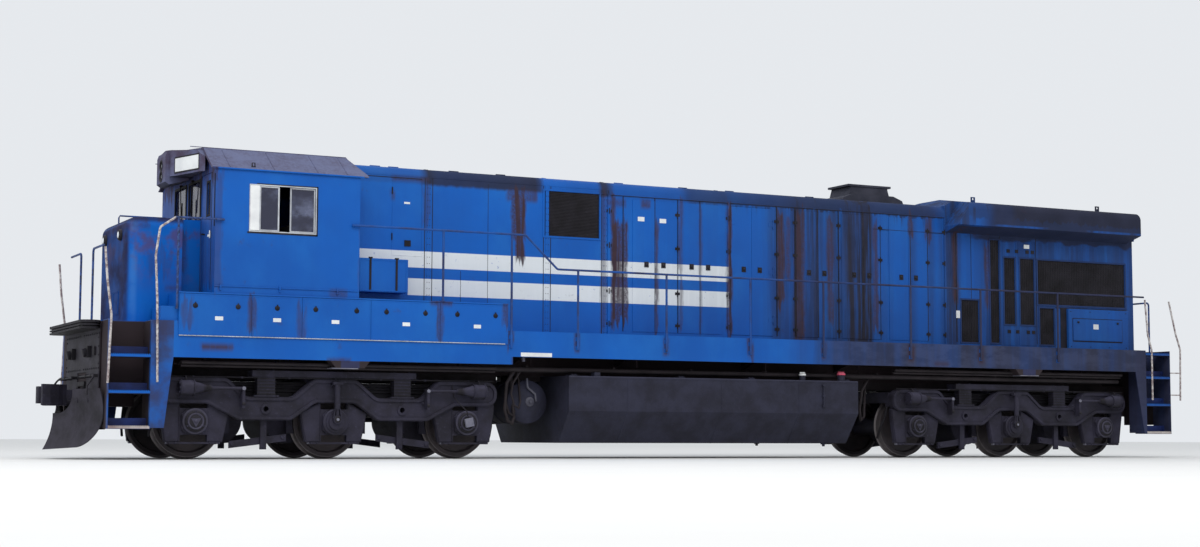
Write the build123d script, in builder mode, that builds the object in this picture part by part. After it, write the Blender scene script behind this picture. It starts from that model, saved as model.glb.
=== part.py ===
from build123d import *
import os

os.makedirs("parts", exist_ok=True)

# A six-axle diesel road locomotive with a low nose, in millimetres. X runs from the nose (-) to the
# radiator end (+), Y from the left side (-) to the right, Z up from the bottom of the wheel flanges.
# Heights are measured from the rail top, as on the real machine, and up() turns them into Z.

# Overall sizes
COUPLED_LENGTH = 20498.0
SILL_WIDTH = 3048.0
TRUCK_CENTRES = 12470.0
AXLE_SPACING = 2070.0
TREAD_RADIUS = 508.0
FLANGE_DEPTH = 28.6
HOOD_WIDTH = 1776.0
HOOD_TOP = 4367.0
DECK_TOP = 1898.0
CAB_WIDTH = 3014.0

# Underframe
DECK_THICK = 38.0
SILL_THICK = 16.0
FRONT_SILL_BOTTOM = 1391.0
REAR_SILL_BOTTOM = 1508.0
SILL_STEP_X = -3550.0
STEP_WELL_X = 9010.0
END_SHEET_X = 9620.0
DECK_END_WIDTH = 2160.0
CENTRE_SILL_Y = 330.0
CENTRE_SILL_BOTTOM = 1263.0
SHEET = 12.0

# Couplers
COUPLER_HEIGHT = 876.0
COUPLER_PIVOT_X = 9250.0
SHANK_WIDTH = 130.0
SHANK_HEIGHT = 150.0
PIN_RADIUS = 40.0
PIN_GAP = 0.3

# Raised boxes beside the cab, with their doors
BOX_FRONT_X = -8650.0
BOX_REAR_X = {-1: -3640.0, 1: -5300.0}
BOX_TOP = 2301.0
BOX_BOTTOM = 1690.0
BOX_INNER_GAP = 62.0
BOX_DOOR_THICK = 14.0
SEAT_GAP = 0.3
BOX_DOOR_EDGES = (-8650.0, -7610.0, -6870.0, -5830.0, -4745.0, -3640.0)
BOX_FRAME = 40.0
DOOR_GAP = 5.0

# Cab
CAB_FRONT_X = -8152.0
CAB_REAR_X = -6007.0
CAB_EAVE = 4076.0
ROOF_BEVEL_Y = 1000.0
ROOF_BEVEL_TOP = 4425.0
ROOF_CROWN = 4520.0
ROOF_THICK = 40.0
ROOF_REAR_X = -5880.0
CAB_WALL = 45.0
CAB_FLOOR_THICK = 30.0
SIDE_WINDOW = (-7667.0, -6670.0, 3195.0, 3875.0)
WINDSHIELD_Y = (80.0, 710.0)
WINDSHIELD_Z = (3290.0, 3990.0)
GLASS = 8.0
CAB_DOOR_WIDTH = 520.0
CAB_DOOR_HINGE_Y = {-1: 1265.0, 1: 1420.0}
CAB_DOOR_TOP = 4040.0
CAB_DOOR_THICK = 36.0
DOOR_WINDOW_Y = {-1: (1020.0, 1180.0), 1: (1045.0, 1265.0)}
DOOR_WINDOW_Z = (3440.0, 3920.0)

# Nose
NOSE_FRONT_X = -9230.0
NOSE_WIDTH = 1900.0
NOSE_TOP = 3400.0
NOSE_CORNER = 250.0
NOSE_NOTCH_X = -8470.0
NOSE_NOTCH_Y = 740.0

# Hoods
EQUIPMENT_HOOD_REAR_X = -1760.0
ENGINE_HOOD_REAR_X = 5030.0
HOOD_REAR_X = 9335.0
HOOD_CORNER = 130.0
HOOD_WALL = 40.0
HOOD_DOOR_BOTTOM = 1985.0
HOOD_DOOR_TOP = 4105.0
HOOD_DOOR_LEAF = 405.0
HOOD_DOOR_PROUD = 8.0
HOOD_DOOR_THICK = 24.0
HOOD_DOOR_MEETINGS = (-766.0, 69.0, 1061.0, 2343.0, 3259.0, 4241.0)
OPENING_PAIR = 1061.0

# Hinges
HINGE_RADIUS = 10.0
HINGE_HALF = 35.0
HINGE_OUT = 12.0
HINGE_SIDE = 14.0
HINGE_STRAP = 90.0
WING_Y = 1290.0
EYE_Y = 900.0
WING_REAR_X = 9190.0
WING_EAVE = 3950.0
WING_SHOULDER = 4430.0
RADIATOR_CROWN = 4560.0

# Fuel tank and air reservoirs
TANK_X = (-2570.0, 2780.0)
TANK_TOP = 1244.0
TANK_KNUCKLE = 702.0
TANK_BOTTOM = 213.0
TANK_HALF_TOP = 1449.0
TANK_HALF_BOTTOM = 1080.0
TANK_CORNER = 25.0
RESERVOIR_X = -3050.0
RESERVOIR_HEIGHT = 842.0
RESERVOIR_RADIUS = 330.0
RESERVOIR_END_Y = 1060.0

# Trucks
FRAME_INNER_Y = 1050.0
PEDESTAL_OUTER_Y = 1140.0
BEAM_OUTER_Y = 1210.0
FRAME_TOP = 1125.0
FRAME_DIP = 864.0
BEAM_BOTTOM = 530.0
ARCH_BOTTOM = 785.0
JAW_BOTTOM = 217.0
DIP_X = 1040.0
JAW_HALF = 200.0
JOURNAL_BOX_TOP = 694.0
JOURNAL_BOX_BOTTOM = 320.0
JOURNAL_CAP_Y = 1272.0
JOURNAL_RADIUS = 82.0
AXLE_RADIUS = 92.0
RUNNING_GAP = 0.3
BOLSTER_BOTTOM = 1150.0
BOLSTER_TOP = 1240.0
BRAKE_Y = 1306.0
MOTOR_OFFSET = 530.0
MOTOR_RADIUS = 330.0
MOTOR_DUCT_TOP = 1060.0
SHOE_GAP = 12.0
SHOE_THICK = 55.0
SHOE_Y = (718.0, 806.0)

# Handrails
RAIL_RADIUS = 16.0
POST_RADIUS = 17.7
RAIL_OUT = 18.0
LOW_RAIL = 2860.0
HIGH_RAIL = 3360.0


def up(height):
    """The Z of a height above the rail top."""
    return FLANGE_DEPTH + height


HALF_LENGTH = COUPLED_LENGTH / 2
HALF_SILL = SILL_WIDTH / 2
HALF_HOOD = HOOD_WIDTH / 2
HALF_CAB = CAB_WIDTH / 2
HALF_NOSE = NOSE_WIDTH / 2
BOX_INNER_Y = HALF_HOOD + BOX_INNER_GAP
RAIL_Y = HALF_SILL + RAIL_OUT
AXLE_Z = up(TREAD_RADIUS)
TRUCKS = {"front": -TRUCK_CENTRES / 2, "rear": TRUCK_CENTRES / 2}


HERE = ((0.0, 0.0, 0.0),)


def along(*distances):
    """Shifts along the locomotive, for copies in a row."""
    return [(distance, 0.0, 0.0) for distance in distances]


def stacked(*heights):
    """Shifts upwards, for copies above each other."""
    return [(0.0, 0.0, height) for height in heights]


def block(x, y, z, mode=Mode.ADD, at=HERE):
    """A box between two values of x, two of y and two of z, with its shifted copies."""
    middle = Vector((x[0] + x[1]) / 2, (y[0] + y[1]) / 2, (z[0] + z[1]) / 2)
    with Locations(*[middle + Vector(*shift) for shift in at]):
        Box(abs(x[1] - x[0]), abs(y[1] - y[0]), abs(z[1] - z[0]), mode=mode)


def side_plate(outline, y0, y1, mode=Mode.ADD):
    """An outline in x and z, extruded across from y0 to y1."""
    with BuildSketch(Plane.XZ.offset(-y0)) as profile:
        with BuildLine():
            Polyline(*outline, close=True)
        make_face()
    extrude(profile.sketch, amount=y0 - y1, mode=mode)


def rounded(outlines, y, corner, inset=0.0):
    """Outlines in x and z at one y, with round corners, drawn in by an inset."""
    with BuildSketch(Plane.XZ.offset(-y)) as profile:
        for outline in outlines:
            with BuildLine():
                Polyline(*outline, close=True)
            make_face()
        fillet(profile.vertices(), corner)
        if inset:
            offset(amount=-inset, mode=Mode.REPLACE)
    return profile.sketch


def cast_plates(outlines, y0, y1, corner, rim=0.0):
    """Castings with round corners and a shoulder at the outer face, hollowed inside a rim if one is given."""
    outward = 1 if y1 > y0 else -1
    shoulder = y1 - outward * CAST_STEP
    extrude(rounded(outlines, y0, corner), amount=y0 - shoulder)
    extrude(rounded(outlines, shoulder, corner, CAST_STEP), amount=shoulder - y1)
    if rim:
        extrude(rounded(outlines, y1, corner, rim), amount=outward * CAST_POCKET, mode=Mode.SUBTRACT)


def cross_plate(outline, x0, x1, mode=Mode.ADD, at=(0.0,)):
    """An outline in y and z, extruded along from x0 to x1, and again at each further x."""
    with BuildSketch(*[Plane.YZ.offset(x0 + shift) for shift in at]) as profile:
        with BuildLine():
            Polyline(*outline, close=True)
        make_face()
    extrude(profile.sketch, amount=x1 - x0, mode=mode)


def flat_plate(outline, z0, z1, mode=Mode.ADD):
    """An outline in x and y, extruded up from z0 to z1."""
    with BuildSketch(Plane.XY.offset(z0)) as profile:
        with BuildLine():
            Polyline(*outline, close=True)
        make_face()
    extrude(profile.sketch, amount=z1 - z0, mode=mode)


def rod(start, end, radius, mode=Mode.ADD, at=HERE):
    """A round bar from one point to another, with its shifted copies."""
    axis = Vector(*end) - Vector(*start)
    planes = [Plane(origin=Vector(*start) + Vector(*shift), z_dir=axis) for shift in at]
    with BuildSketch(*planes) as section:
        Circle(radius)
    extrude(section.sketch, amount=axis.length, mode=mode)


def turned(profile, origin, direction):
    """A turned piece: distance from its origin along a level axis, and radius."""
    across = Vector(*direction).cross(Vector(0, 0, 1))
    with BuildSketch(Plane(origin=origin, x_dir=direction, z_dir=across)) as section:
        with BuildLine():
            Polyline(*profile, close=True)
        make_face()
    revolve(section.sketch, axis=Axis(origin, direction))


def pipe(points, radius, bend):
    """A round pipe along straight runs joined by bends."""
    with BuildLine() as path:
        FilletPolyline(*points, radius=bend)
    with BuildSketch(Plane(origin=path.line @ 0, z_dir=path.line % 0)) as section:
        Circle(radius)
    sweep(section.sketch, path=path.line)


def spread(pivot, toward, outward, near, far, low, high):
    """The x and y ranges of a box laid out from a pivot: near to far along the leaf, low to high out."""
    corners = [(pivot[0] + toward[0] * t + outward[0] * o, pivot[1] + toward[1] * t + outward[1] * o)
               for t, o in ((near, low), (far, high))]
    return (corners[0][0], corners[1][0]), (corners[0][1], corners[1][1])


def hinge_straps(pivot, toward, outward, heights, leaf_face):
    """The leaf's half of its hinges: straps with a barrel on the end."""
    tall = (-HINGE_HALF, HINGE_HALF)
    x, y = spread(pivot, toward, outward, 0, HINGE_STRAP, -HINGE_RADIUS, 0)
    block(x, y, tall, at=stacked(*heights))
    x, y = spread(pivot, toward, outward, HINGE_SIDE, HINGE_STRAP, leaf_face, 0)
    block(x, y, tall, at=stacked(*heights))
    rod((*pivot, tall[0]), (*pivot, tall[1]), HINGE_RADIUS, at=stacked(*heights))


def hinge_brackets(pivot, toward, outward, heights):
    """The frame's half of the hinges: a barrel above and below each of the leaf's, on a foot."""
    tall = (0.0, HINGE_HALF)
    above = HINGE_HALF + SEAT_GAP
    ends = stacked(*[z + end for z in heights for end in (above, -above - HINGE_HALF)])
    x, y = spread(pivot, toward, outward, -HINGE_RADIUS, HINGE_RADIUS - 2, -HINGE_OUT, 0)
    block(x, y, tall, at=ends)
    rod((*pivot, tall[0]), (*pivot, tall[1]), HINGE_RADIUS, at=ends)


def save(part, name):
    """Labels a finished piece and writes it."""
    part.label = name
    export_step(part, f"parts/{name}.step")


# Underframe: deck, centre sills, cross bearers, bolsters, side sills, draft pockets and jacking pads
PAD_X = {-6130.0: FRONT_SILL_BOTTOM, 6340.0: REAR_SILL_BOTTOM}
PAD_DEPTH = 104.0
SILL_LIP = 64.0
FLANGE = 60.0
PIPE_Y = 1080.0
PIPE_HEIGHT = 1325.0
PIPE_RADIUS = 21.0
CROSS_BEARERS = (-7900.0, -4600.0, -3050.0, -1200.0, 1200.0, 3050.0, 4600.0, 7900.0)
LEG_TOP_X = {-1: -8708.0, 1: 8775.0}
PLATE_BOTTOM = DECK_TOP - DECK_THICK
SILL_INNER = HALF_SILL - SILL_THICK

with BuildPart() as underframe:
    sill_outline = [
        (LEG_TOP_X[-1], up(FRONT_SILL_BOTTOM)), (SILL_STEP_X, up(FRONT_SILL_BOTTOM)),
        (SILL_STEP_X, up(REAR_SILL_BOTTOM)), (LEG_TOP_X[1], up(REAR_SILL_BOTTOM)),
        (LEG_TOP_X[1], up(DECK_TOP)), (LEG_TOP_X[-1], up(DECK_TOP)),
    ]
    side_plate(sill_outline, SILL_INNER, HALF_SILL)
    for x0, x1, bottom in ((LEG_TOP_X[-1], SILL_STEP_X, FRONT_SILL_BOTTOM),
                           (SILL_STEP_X, LEG_TOP_X[1], REAR_SILL_BOTTOM)):
        block((x0, x1), (SILL_INNER - SILL_LIP, SILL_INNER), (up(bottom), up(bottom + SHEET)))
    i_beam = [
        (-100, CENTRE_SILL_BOTTOM), (100, CENTRE_SILL_BOTTOM), (100, CENTRE_SILL_BOTTOM + FLANGE),
        (15, CENTRE_SILL_BOTTOM + FLANGE), (15, PLATE_BOTTOM), (-15, PLATE_BOTTOM),
        (-15, CENTRE_SILL_BOTTOM + FLANGE), (-100, CENTRE_SILL_BOTTOM + FLANGE),
    ]
    cross_plate([(CENTRE_SILL_Y + y, up(z)) for y, z in i_beam], -8950.0, 8950.0)
    rod((-8600, PIPE_Y, up(PIPE_HEIGHT)), (8600, PIPE_Y, up(PIPE_HEIGHT)), PIPE_RADIUS)
    block((-10, 10), (PIPE_Y - 12, PIPE_Y + 12), (up(PIPE_HEIGHT), up(1640)), at=along(*CROSS_BEARERS))
    for pad_x, pad_top in PAD_X.items():
        pad_outline = [(pad_x - 300, up(pad_top)), (pad_x - 220, up(pad_top - PAD_DEPTH)),
                       (pad_x + 220, up(pad_top - PAD_DEPTH)), (pad_x + 300, up(pad_top))]
        side_plate(pad_outline, 1300.0, HALF_SILL)
        block((pad_x - 300, pad_x + 300), (1300.0, SILL_INNER), (up(pad_top), up(1640.0)))
    block((END_SHEET_X - SHEET, END_SHEET_X), (290, DECK_END_WIDTH / 2), (up(560.0), up(1210.0)))
    mirror(about=Plane.XZ)
    block((-END_SHEET_X, END_SHEET_X), (-DECK_END_WIDTH / 2, DECK_END_WIDTH / 2),
          (up(PLATE_BOTTOM), up(DECK_TOP)))
    block((-STEP_WELL_X, STEP_WELL_X), (-SILL_INNER, SILL_INNER), (up(PLATE_BOTTOM), up(DECK_TOP)))
    bearer = [(-SILL_INNER, 1720.0), (-CENTRE_SILL_Y, 1420.0), (CENTRE_SILL_Y, 1420.0),
              (SILL_INNER, 1720.0), (SILL_INNER, PLATE_BOTTOM), (-SILL_INNER, PLATE_BOTTOM)]
    cross_plate([(y, up(z)) for y, z in bearer], -10, 10, at=CROSS_BEARERS)
    bolster = [(-SILL_INNER, 1600.0), (-600.0, 1300.0), (600.0, 1300.0), (SILL_INNER, 1600.0),
               (SILL_INNER, PLATE_BOTTOM), (-SILL_INNER, PLATE_BOTTOM)]
    cross_plate([(y, up(z)) for y, z in bolster], -180, 180, at=TRUCKS.values())
    rod((0, 0, up(BOLSTER_TOP + RUNNING_GAP)), (0, 0, up(1310.0)), 340.0, at=along(*TRUCKS.values()))
    for end in (-1, 1):
        block((end * 8950.0, end * END_SHEET_X), (-300, 300), (up(720.0), up(CENTRE_SILL_BOTTOM + 20)))
        block((end * 9150.0, end * END_SHEET_X), (-165, 165),
              (up(COUPLER_HEIGHT - 100), up(COUPLER_HEIGHT + 100)), mode=Mode.SUBTRACT)
        rod((end * COUPLER_PIVOT_X, 0, up(COUPLER_HEIGHT - 101)),
            (end * COUPLER_PIVOT_X, 0, up(COUPLER_HEIGHT + 101)), PIN_RADIUS)
        block((end * (END_SHEET_X - SHEET), end * END_SHEET_X), (-DECK_END_WIDTH / 2, DECK_END_WIDTH / 2),
              (up(1200.0), up(PLATE_BOTTOM)))
    for side in (-1, 1):
        block((BOX_FRONT_X, BOX_REAR_X[side]), (side * BOX_INNER_Y, side * (HALF_SILL + 10)),
              (up(BOX_BOTTOM), up(DECK_TOP + 10)), mode=Mode.SUBTRACT)
save(underframe.part, "underframe")

# Steps: treads between two end sheets with a leg in the plane of the side sill
TREADS = {-1: (1415.0, 915.0, 430.0), 1: (1845.0, 1420.0, 930.0, 430.0)}
TREAD_THICK = 35.0
TREAD_INNER_Y = 1230.0
LEG_BOTTOM = 411.0
LEG_FOOT_X = {-1: -8822.0, 1: 8960.0}
SILL_BOTTOM_AT = {-1: FRONT_SILL_BOTTOM, 1: REAR_SILL_BOTTOM}

for end, name in ((-1, "front_steps"), (1, "rear_steps")):
    with BuildPart() as steps:
        for side in (-1, 1):
            outer_x = end * (END_SHEET_X - 20)
            well_x = end * STEP_WELL_X
            half_deck = DECK_END_WIDTH / 2
            leg = [(well_x, up(DECK_TOP)), (LEG_TOP_X[end], up(DECK_TOP)),
                   (LEG_TOP_X[end], up(SILL_BOTTOM_AT[end])), (LEG_FOOT_X[end], up(LEG_BOTTOM)),
                   (well_x, up(LEG_BOTTOM))]
            side_plate(leg, side * SILL_INNER, side * HALF_SILL)
            for sheet_x in (outer_x, well_x + end * SHEET):
                block((sheet_x - end * SHEET, sheet_x), (side * half_deck, side * HALF_SILL),
                      (up(LEG_BOTTOM), up(DECK_TOP)))
            block((well_x, outer_x), (side * half_deck, side * (half_deck + SHEET)),
                  (up(930.0), up(DECK_TOP)))
            for tread in TREADS[end]:
                block((well_x, outer_x), (side * TREAD_INNER_Y, side * HALF_SILL),
                      (up(tread - TREAD_THICK), up(tread)))
    save(steps.part, name)

# Plow: two curved wings that meet at the centre, under a round clearance for the coupler
PLOW_TIP = (-9650.0, -1360.0)
PLOW_NOSE_X = -10060.0
BLADE_THICK = 14.0

with BuildPart() as plow:
    run = Vector(PLOW_NOSE_X - PLOW_TIP[0], -PLOW_TIP[1], 0)
    ahead = Vector(-run.Y, run.X, 0).normalized()
    with BuildSketch(Plane(origin=(*PLOW_TIP, 0), x_dir=ahead, z_dir=run.normalized())):
        with BuildLine():
            ThreePointArc((95, up(105)), (-25, up(470)), (30, up(955)))
            Line((30, up(955)), (30 - BLADE_THICK, up(955)))
            ThreePointArc((30 - BLADE_THICK, up(955)), (-25 - BLADE_THICK, up(470)),
                          (95 - BLADE_THICK, up(105)))
            Line((95 - BLADE_THICK, up(105)), (95, up(105)))
        make_face()
    extrude(amount=run.length + 200)
    split(bisect_by=Plane.XZ, keep=Keep.TOP)
    with BuildSketch(Plane.YZ.offset(-10400)):
        with BuildLine():
            Polyline((10, up(105)), (-880, up(140)))
            Polyline((-1340, up(540)), (-1385, up(950)), (-640, up(950)))
            ThreePointArc((-880, up(140)), (-1200, up(290)), (-1340, up(540)))
            ThreePointArc((-640, up(950)), (-430, up(705)), (-110, up(620)))
            Polyline((-110, up(620)), (10, up(620)), (10, up(105)))
        make_face()
    extrude(amount=1000, mode=Mode.INTERSECT)
    for bracket_y in (-700.0, -980.0):
        wing_x = PLOW_TIP[0] + run.X * (bracket_y - PLOW_TIP[1]) / run.Y
        block((wing_x + 10, -END_SHEET_X), (bracket_y - 10, bracket_y + 10), (up(760), up(930)))
    block((-END_SHEET_X - SHEET, -END_SHEET_X), (-DECK_END_WIDTH / 2, -300), (up(700), up(1200)))
    block((-END_SHEET_X - SHEET, -END_SHEET_X), (-DECK_END_WIDTH / 2, 0), (up(1200), up(1780)))
    mirror(about=Plane.XZ)
save(plow.part, "plow")

with BuildPart() as anticlimber:
    with BuildSketch(Plane.XY.offset(up(1780))):
        with Locations((-END_SHEET_X - 140, 0)):
            RectangleRounded(280, 2300, 120)
    extrude(amount=DECK_TOP - 1780)
    for groove in (1805.0, 1845.0):
        with BuildSketch(Plane.XY.offset(up(groove))):
            with Locations((-END_SHEET_X - 140, 0)):
                RectangleRounded(290, 2310, 120)
                RectangleRounded(220, 2240, 95, mode=Mode.SUBTRACT)
        extrude(amount=18, mode=Mode.SUBTRACT)
    block((-END_SHEET_X, -END_SHEET_X + 300), (-1300, 1300), (up(1700), up(2000)), mode=Mode.SUBTRACT)
save(anticlimber.part, "anticlimber")

# Couplers: head with guard arm and shank, swinging on a pin, and a knuckle on its own pin
LUG = (850.0, -112.0)
LUG_RADIUS = 62.0
KNUCKLE_PIN = 21.0
HEAD_HALF = 150.0
KNUCKLE_HALF = 120.0
REACH = HALF_LENGTH - COUPLER_PIVOT_X

for end, name in ((-1, "front"), (1, "rear")):
    level = Plane(origin=(end * COUPLER_PIVOT_X, 0, up(COUPLER_HEIGHT)), x_dir=(end, 0, 0))
    with BuildPart() as coupler:
        with BuildSketch(level.offset(-SHANK_HEIGHT / 2)):
            Circle(SHANK_WIDTH / 2)
            with Locations((320, 0)):
                Rectangle(640, SHANK_WIDTH)
        extrude(amount=SHANK_HEIGHT)
        with BuildSketch(level.offset(-HEAD_HALF)):
            with BuildLine():
                Polyline((600, -65), (690, -120), (770, -185), (850, -185), (895, -150), (895, -75),
                         (850, -30), (838, 30), (856, 95), (905, 140), (985, 205), (972, 262),
                         (860, 235), (730, 160), (660, 92), (600, 65), (600, -65))
            make_face()
        extrude(amount=2 * HEAD_HALF)
        with BuildSketch(level.offset(-KNUCKLE_HALF - 5)):
            with Locations(LUG):
                Circle(LUG_RADIUS + 6)
                with Locations((60, 0)):
                    Rectangle(120, 2 * LUG_RADIUS + 12)
                with Locations((0, -60)):
                    Rectangle(2 * LUG_RADIUS + 12, 120)
        extrude(amount=2 * KNUCKLE_HALF + 10, mode=Mode.SUBTRACT)
        with BuildSketch(level.offset(-HEAD_HALF)):
            with Locations(LUG):
                Circle(KNUCKLE_PIN)
        extrude(amount=2 * HEAD_HALF)
        with BuildSketch(level.offset(-SHANK_HEIGHT / 2)):
            Circle(PIN_RADIUS + PIN_GAP)
        extrude(amount=SHANK_HEIGHT, mode=Mode.SUBTRACT)
    save(coupler.part, f"coupler_{name}")
    with BuildPart() as knuckle:
        with BuildSketch(level.offset(-KNUCKLE_HALF)):
            with BuildLine():
                Polyline((850, -174), (930, -172), (REACH - 12, -140), (REACH, -100), (REACH, 10),
                         (REACH - 15, 40), (945, 48), (925, 20), (922, -35), (905, -62), (850, -50),
                         (850, -174))
            make_face()
            with Locations(LUG):
                Circle(LUG_RADIUS)
                Circle(KNUCKLE_PIN + PIN_GAP, mode=Mode.SUBTRACT)
        extrude(amount=2 * KNUCKLE_HALF)
    save(knuckle.part, f"knuckle_{name}")

# Boxes beside the cab: an open front with a partition behind each door seam, and a step in front
with BuildPart() as side_boxes:
    for side in (-1, 1):
        front_face = side * HALF_SILL
        rear_x = BOX_REAR_X[side]
        block((BOX_FRONT_X, rear_x), (side * BOX_INNER_Y, side * HALF_SILL), (up(BOX_BOTTOM), up(BOX_TOP)))
        seams = [x for x in BOX_DOOR_EDGES if x < rear_x - 600] + [rear_x]
        for seam, following in zip(seams, seams[1:]):
            block((seam + BOX_FRAME / 2, following - BOX_FRAME / 2), (side * (BOX_INNER_Y + 20), front_face),
                  (up(BOX_BOTTOM + 20), up(BOX_TOP - 45)), mode=Mode.SUBTRACT)
            if side > 0:
                block((seam + DOOR_GAP / 2, following - DOOR_GAP / 2),
                      (front_face, side * (HALF_SILL + BOX_DOOR_THICK)),
                      (up(BOX_BOTTOM + 4), up(BOX_TOP - 22)))
        block((BOX_FRONT_X - 240, BOX_FRONT_X), (side * 1000, side * (HALF_SILL - 44)),
              (up(DECK_TOP), up((DECK_TOP + BOX_TOP + 1) / 2)))
save(side_boxes.part, "side_boxes")

with BuildPart() as batteries:
    for side in (-1, 1):
        cell_x = BOX_FRONT_X + 90
        while cell_x + 260 < BOX_REAR_X[1] - 60:
            if all(abs(cell_x + 115 - seam) > 160 for seam in BOX_DOOR_EDGES):
                block((cell_x, cell_x + 230), (side * (BOX_INNER_Y + 50), side * (HALF_SILL - 84)),
                      (up(BOX_BOTTOM + 20), up(BOX_TOP - 151)))
            cell_x += 260
save(batteries.part, "batteries")


def box_door(name, side, x0, x1):
    """A drop-down door of the side box, hinged along its bottom edge."""
    with BuildPart() as door:
        block((x0 + DOOR_GAP / 2, x1 - DOOR_GAP / 2),
              (side * (HALF_SILL + SEAT_GAP), side * (HALF_SILL + SEAT_GAP + BOX_DOOR_THICK)),
              (up(BOX_BOTTOM + 4), up(BOX_TOP - 22)))
    save(door.part, name)


for number, (x0, x1) in enumerate(zip(BOX_DOOR_EDGES, BOX_DOOR_EDGES[1:]), start=1):
    box_door(f"side_box_door_{number}", -1, x0, x1)

# Cab: floor on its sub-base, four walls, roof, glass, seats and control stand
FLOOR_TOP = BOX_TOP + CAB_FLOOR_THICK
CAB_INNER = HALF_CAB - CAB_WALL
with BuildPart() as cab_floor:
    block((CAB_FRONT_X, CAB_REAR_X), (-HALF_CAB, HALF_CAB), (up(BOX_TOP), up(FLOOR_TOP)))
    block((CAB_FRONT_X, CAB_REAR_X), (-BOX_INNER_Y, BOX_INNER_Y), (up(DECK_TOP), up(BOX_TOP)))
save(cab_floor.part, "cab_floor")

for side, name in ((-1, "cab_left_wall"), (1, "cab_right_wall")):
    with BuildPart() as cab_side:
        block((CAB_FRONT_X, CAB_REAR_X), (side * CAB_INNER, side * HALF_CAB), (up(FLOOR_TOP), up(CAB_EAVE)))
        block(SIDE_WINDOW[:2], (side * (CAB_INNER - 5), side * (HALF_CAB + 5)),
              (up(SIDE_WINDOW[2]), up(SIDE_WINDOW[3])), mode=Mode.SUBTRACT)
    save(cab_side.part, name)


def roof_section(half, eave, bevel_y, bevel_top, crown):
    """The cab's cross section above the eaves, as y and z."""
    return [(-half, up(eave)), (-bevel_y, up(bevel_top)), (0, up(crown)), (bevel_y, up(bevel_top)),
            (half, up(eave))]


CAB_DOORS = (("cab_front_door", CAB_FRONT_X, -1, -1), ("cab_rear_door", CAB_REAR_X, 1, 1))


def gable(inner_half, top_drop):
    """The outline of an end wall, up to the underside of the roof."""
    eave = CAB_EAVE - top_drop
    lower = [(-inner_half, up(FLOOR_TOP)), (inner_half, up(FLOOR_TOP))]
    roof = roof_section(inner_half, eave, ROOF_BEVEL_Y, ROOF_BEVEL_TOP - ROOF_THICK - 12,
                        ROOF_CROWN - ROOF_THICK - 12)
    return lower + roof[::-1]


for name, face_x, facing, side in CAB_DOORS:
    hinge_y = CAB_DOOR_HINGE_Y[side]
    inner_x = face_x - facing * CAB_WALL
    pivot = (inner_x - facing * HINGE_OUT, side * (hinge_y + HINGE_SIDE - DOOR_GAP))
    toward, outward = (0, -side), (-facing, 0)
    hinge_heights = [up(z) for z in (FLOOR_TOP + 200, (FLOOR_TOP + CAB_DOOR_TOP) / 2, CAB_DOOR_TOP - 200)]
    with BuildPart() as end_wall:
        cross_plate(gable(CAB_INNER, 0), face_x, inner_x)
        block((face_x - CAB_WALL - 5, face_x + CAB_WALL + 5),
              (side * hinge_y, side * (hinge_y - CAB_DOOR_WIDTH)),
              (up(FLOOR_TOP), up(CAB_DOOR_TOP)), mode=Mode.SUBTRACT)
        if facing < 0:
            for pane_side in (-1, 1):
                block((face_x - 5, face_x + CAB_WALL + 5),
                      (pane_side * WINDSHIELD_Y[0], pane_side * WINDSHIELD_Y[1]),
                      (up(WINDSHIELD_Z[0]), up(WINDSHIELD_Z[1])), mode=Mode.SUBTRACT)
        hinge_brackets(pivot, toward, outward, hinge_heights)
    save(end_wall.part, "cab_front_wall" if facing < 0 else "cab_rear_wall")
    with BuildPart() as cab_door:
        leaf = (side * (hinge_y - DOOR_GAP), side * (hinge_y - CAB_DOOR_WIDTH + DOOR_GAP))
        block((inner_x, inner_x + facing * CAB_DOOR_THICK), leaf,
              (up(FLOOR_TOP + DOOR_GAP), up(CAB_DOOR_TOP - DOOR_GAP)))
        block((inner_x - 60, inner_x + 60), [side * y for y in DOOR_WINDOW_Y[side]],
              (up(DOOR_WINDOW_Z[0]), up(DOOR_WINDOW_Z[1])), mode=Mode.SUBTRACT)
        hinge_straps(pivot, toward, outward, hinge_heights, -HINGE_OUT)
    save(cab_door.part, name)

DRIP = 22.0
with BuildPart() as cab_roof:
    outer = roof_section(HALF_CAB + DRIP, CAB_EAVE, ROOF_BEVEL_Y, ROOF_BEVEL_TOP, ROOF_CROWN)
    inner = roof_section(CAB_INNER, CAB_EAVE, ROOF_BEVEL_Y, ROOF_BEVEL_TOP - ROOF_THICK - 12,
                         ROOF_CROWN - ROOF_THICK - 12)
    cross_plate(outer + inner[::-1], CAB_FRONT_X - 60, ROOF_REAR_X)
    rake = [(ROOF_REAR_X, up(4120)), (ROOF_REAR_X - 170, up(4400)), (ROOF_REAR_X - 170, up(4700)),
            (ROOF_REAR_X + 100, up(4700)), (ROOF_REAR_X + 100, up(4120))]
    side_plate(rake, -HALF_SILL - 100, HALF_SILL + 100, mode=Mode.SUBTRACT)
save(cab_roof.part, "cab_roof")

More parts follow.
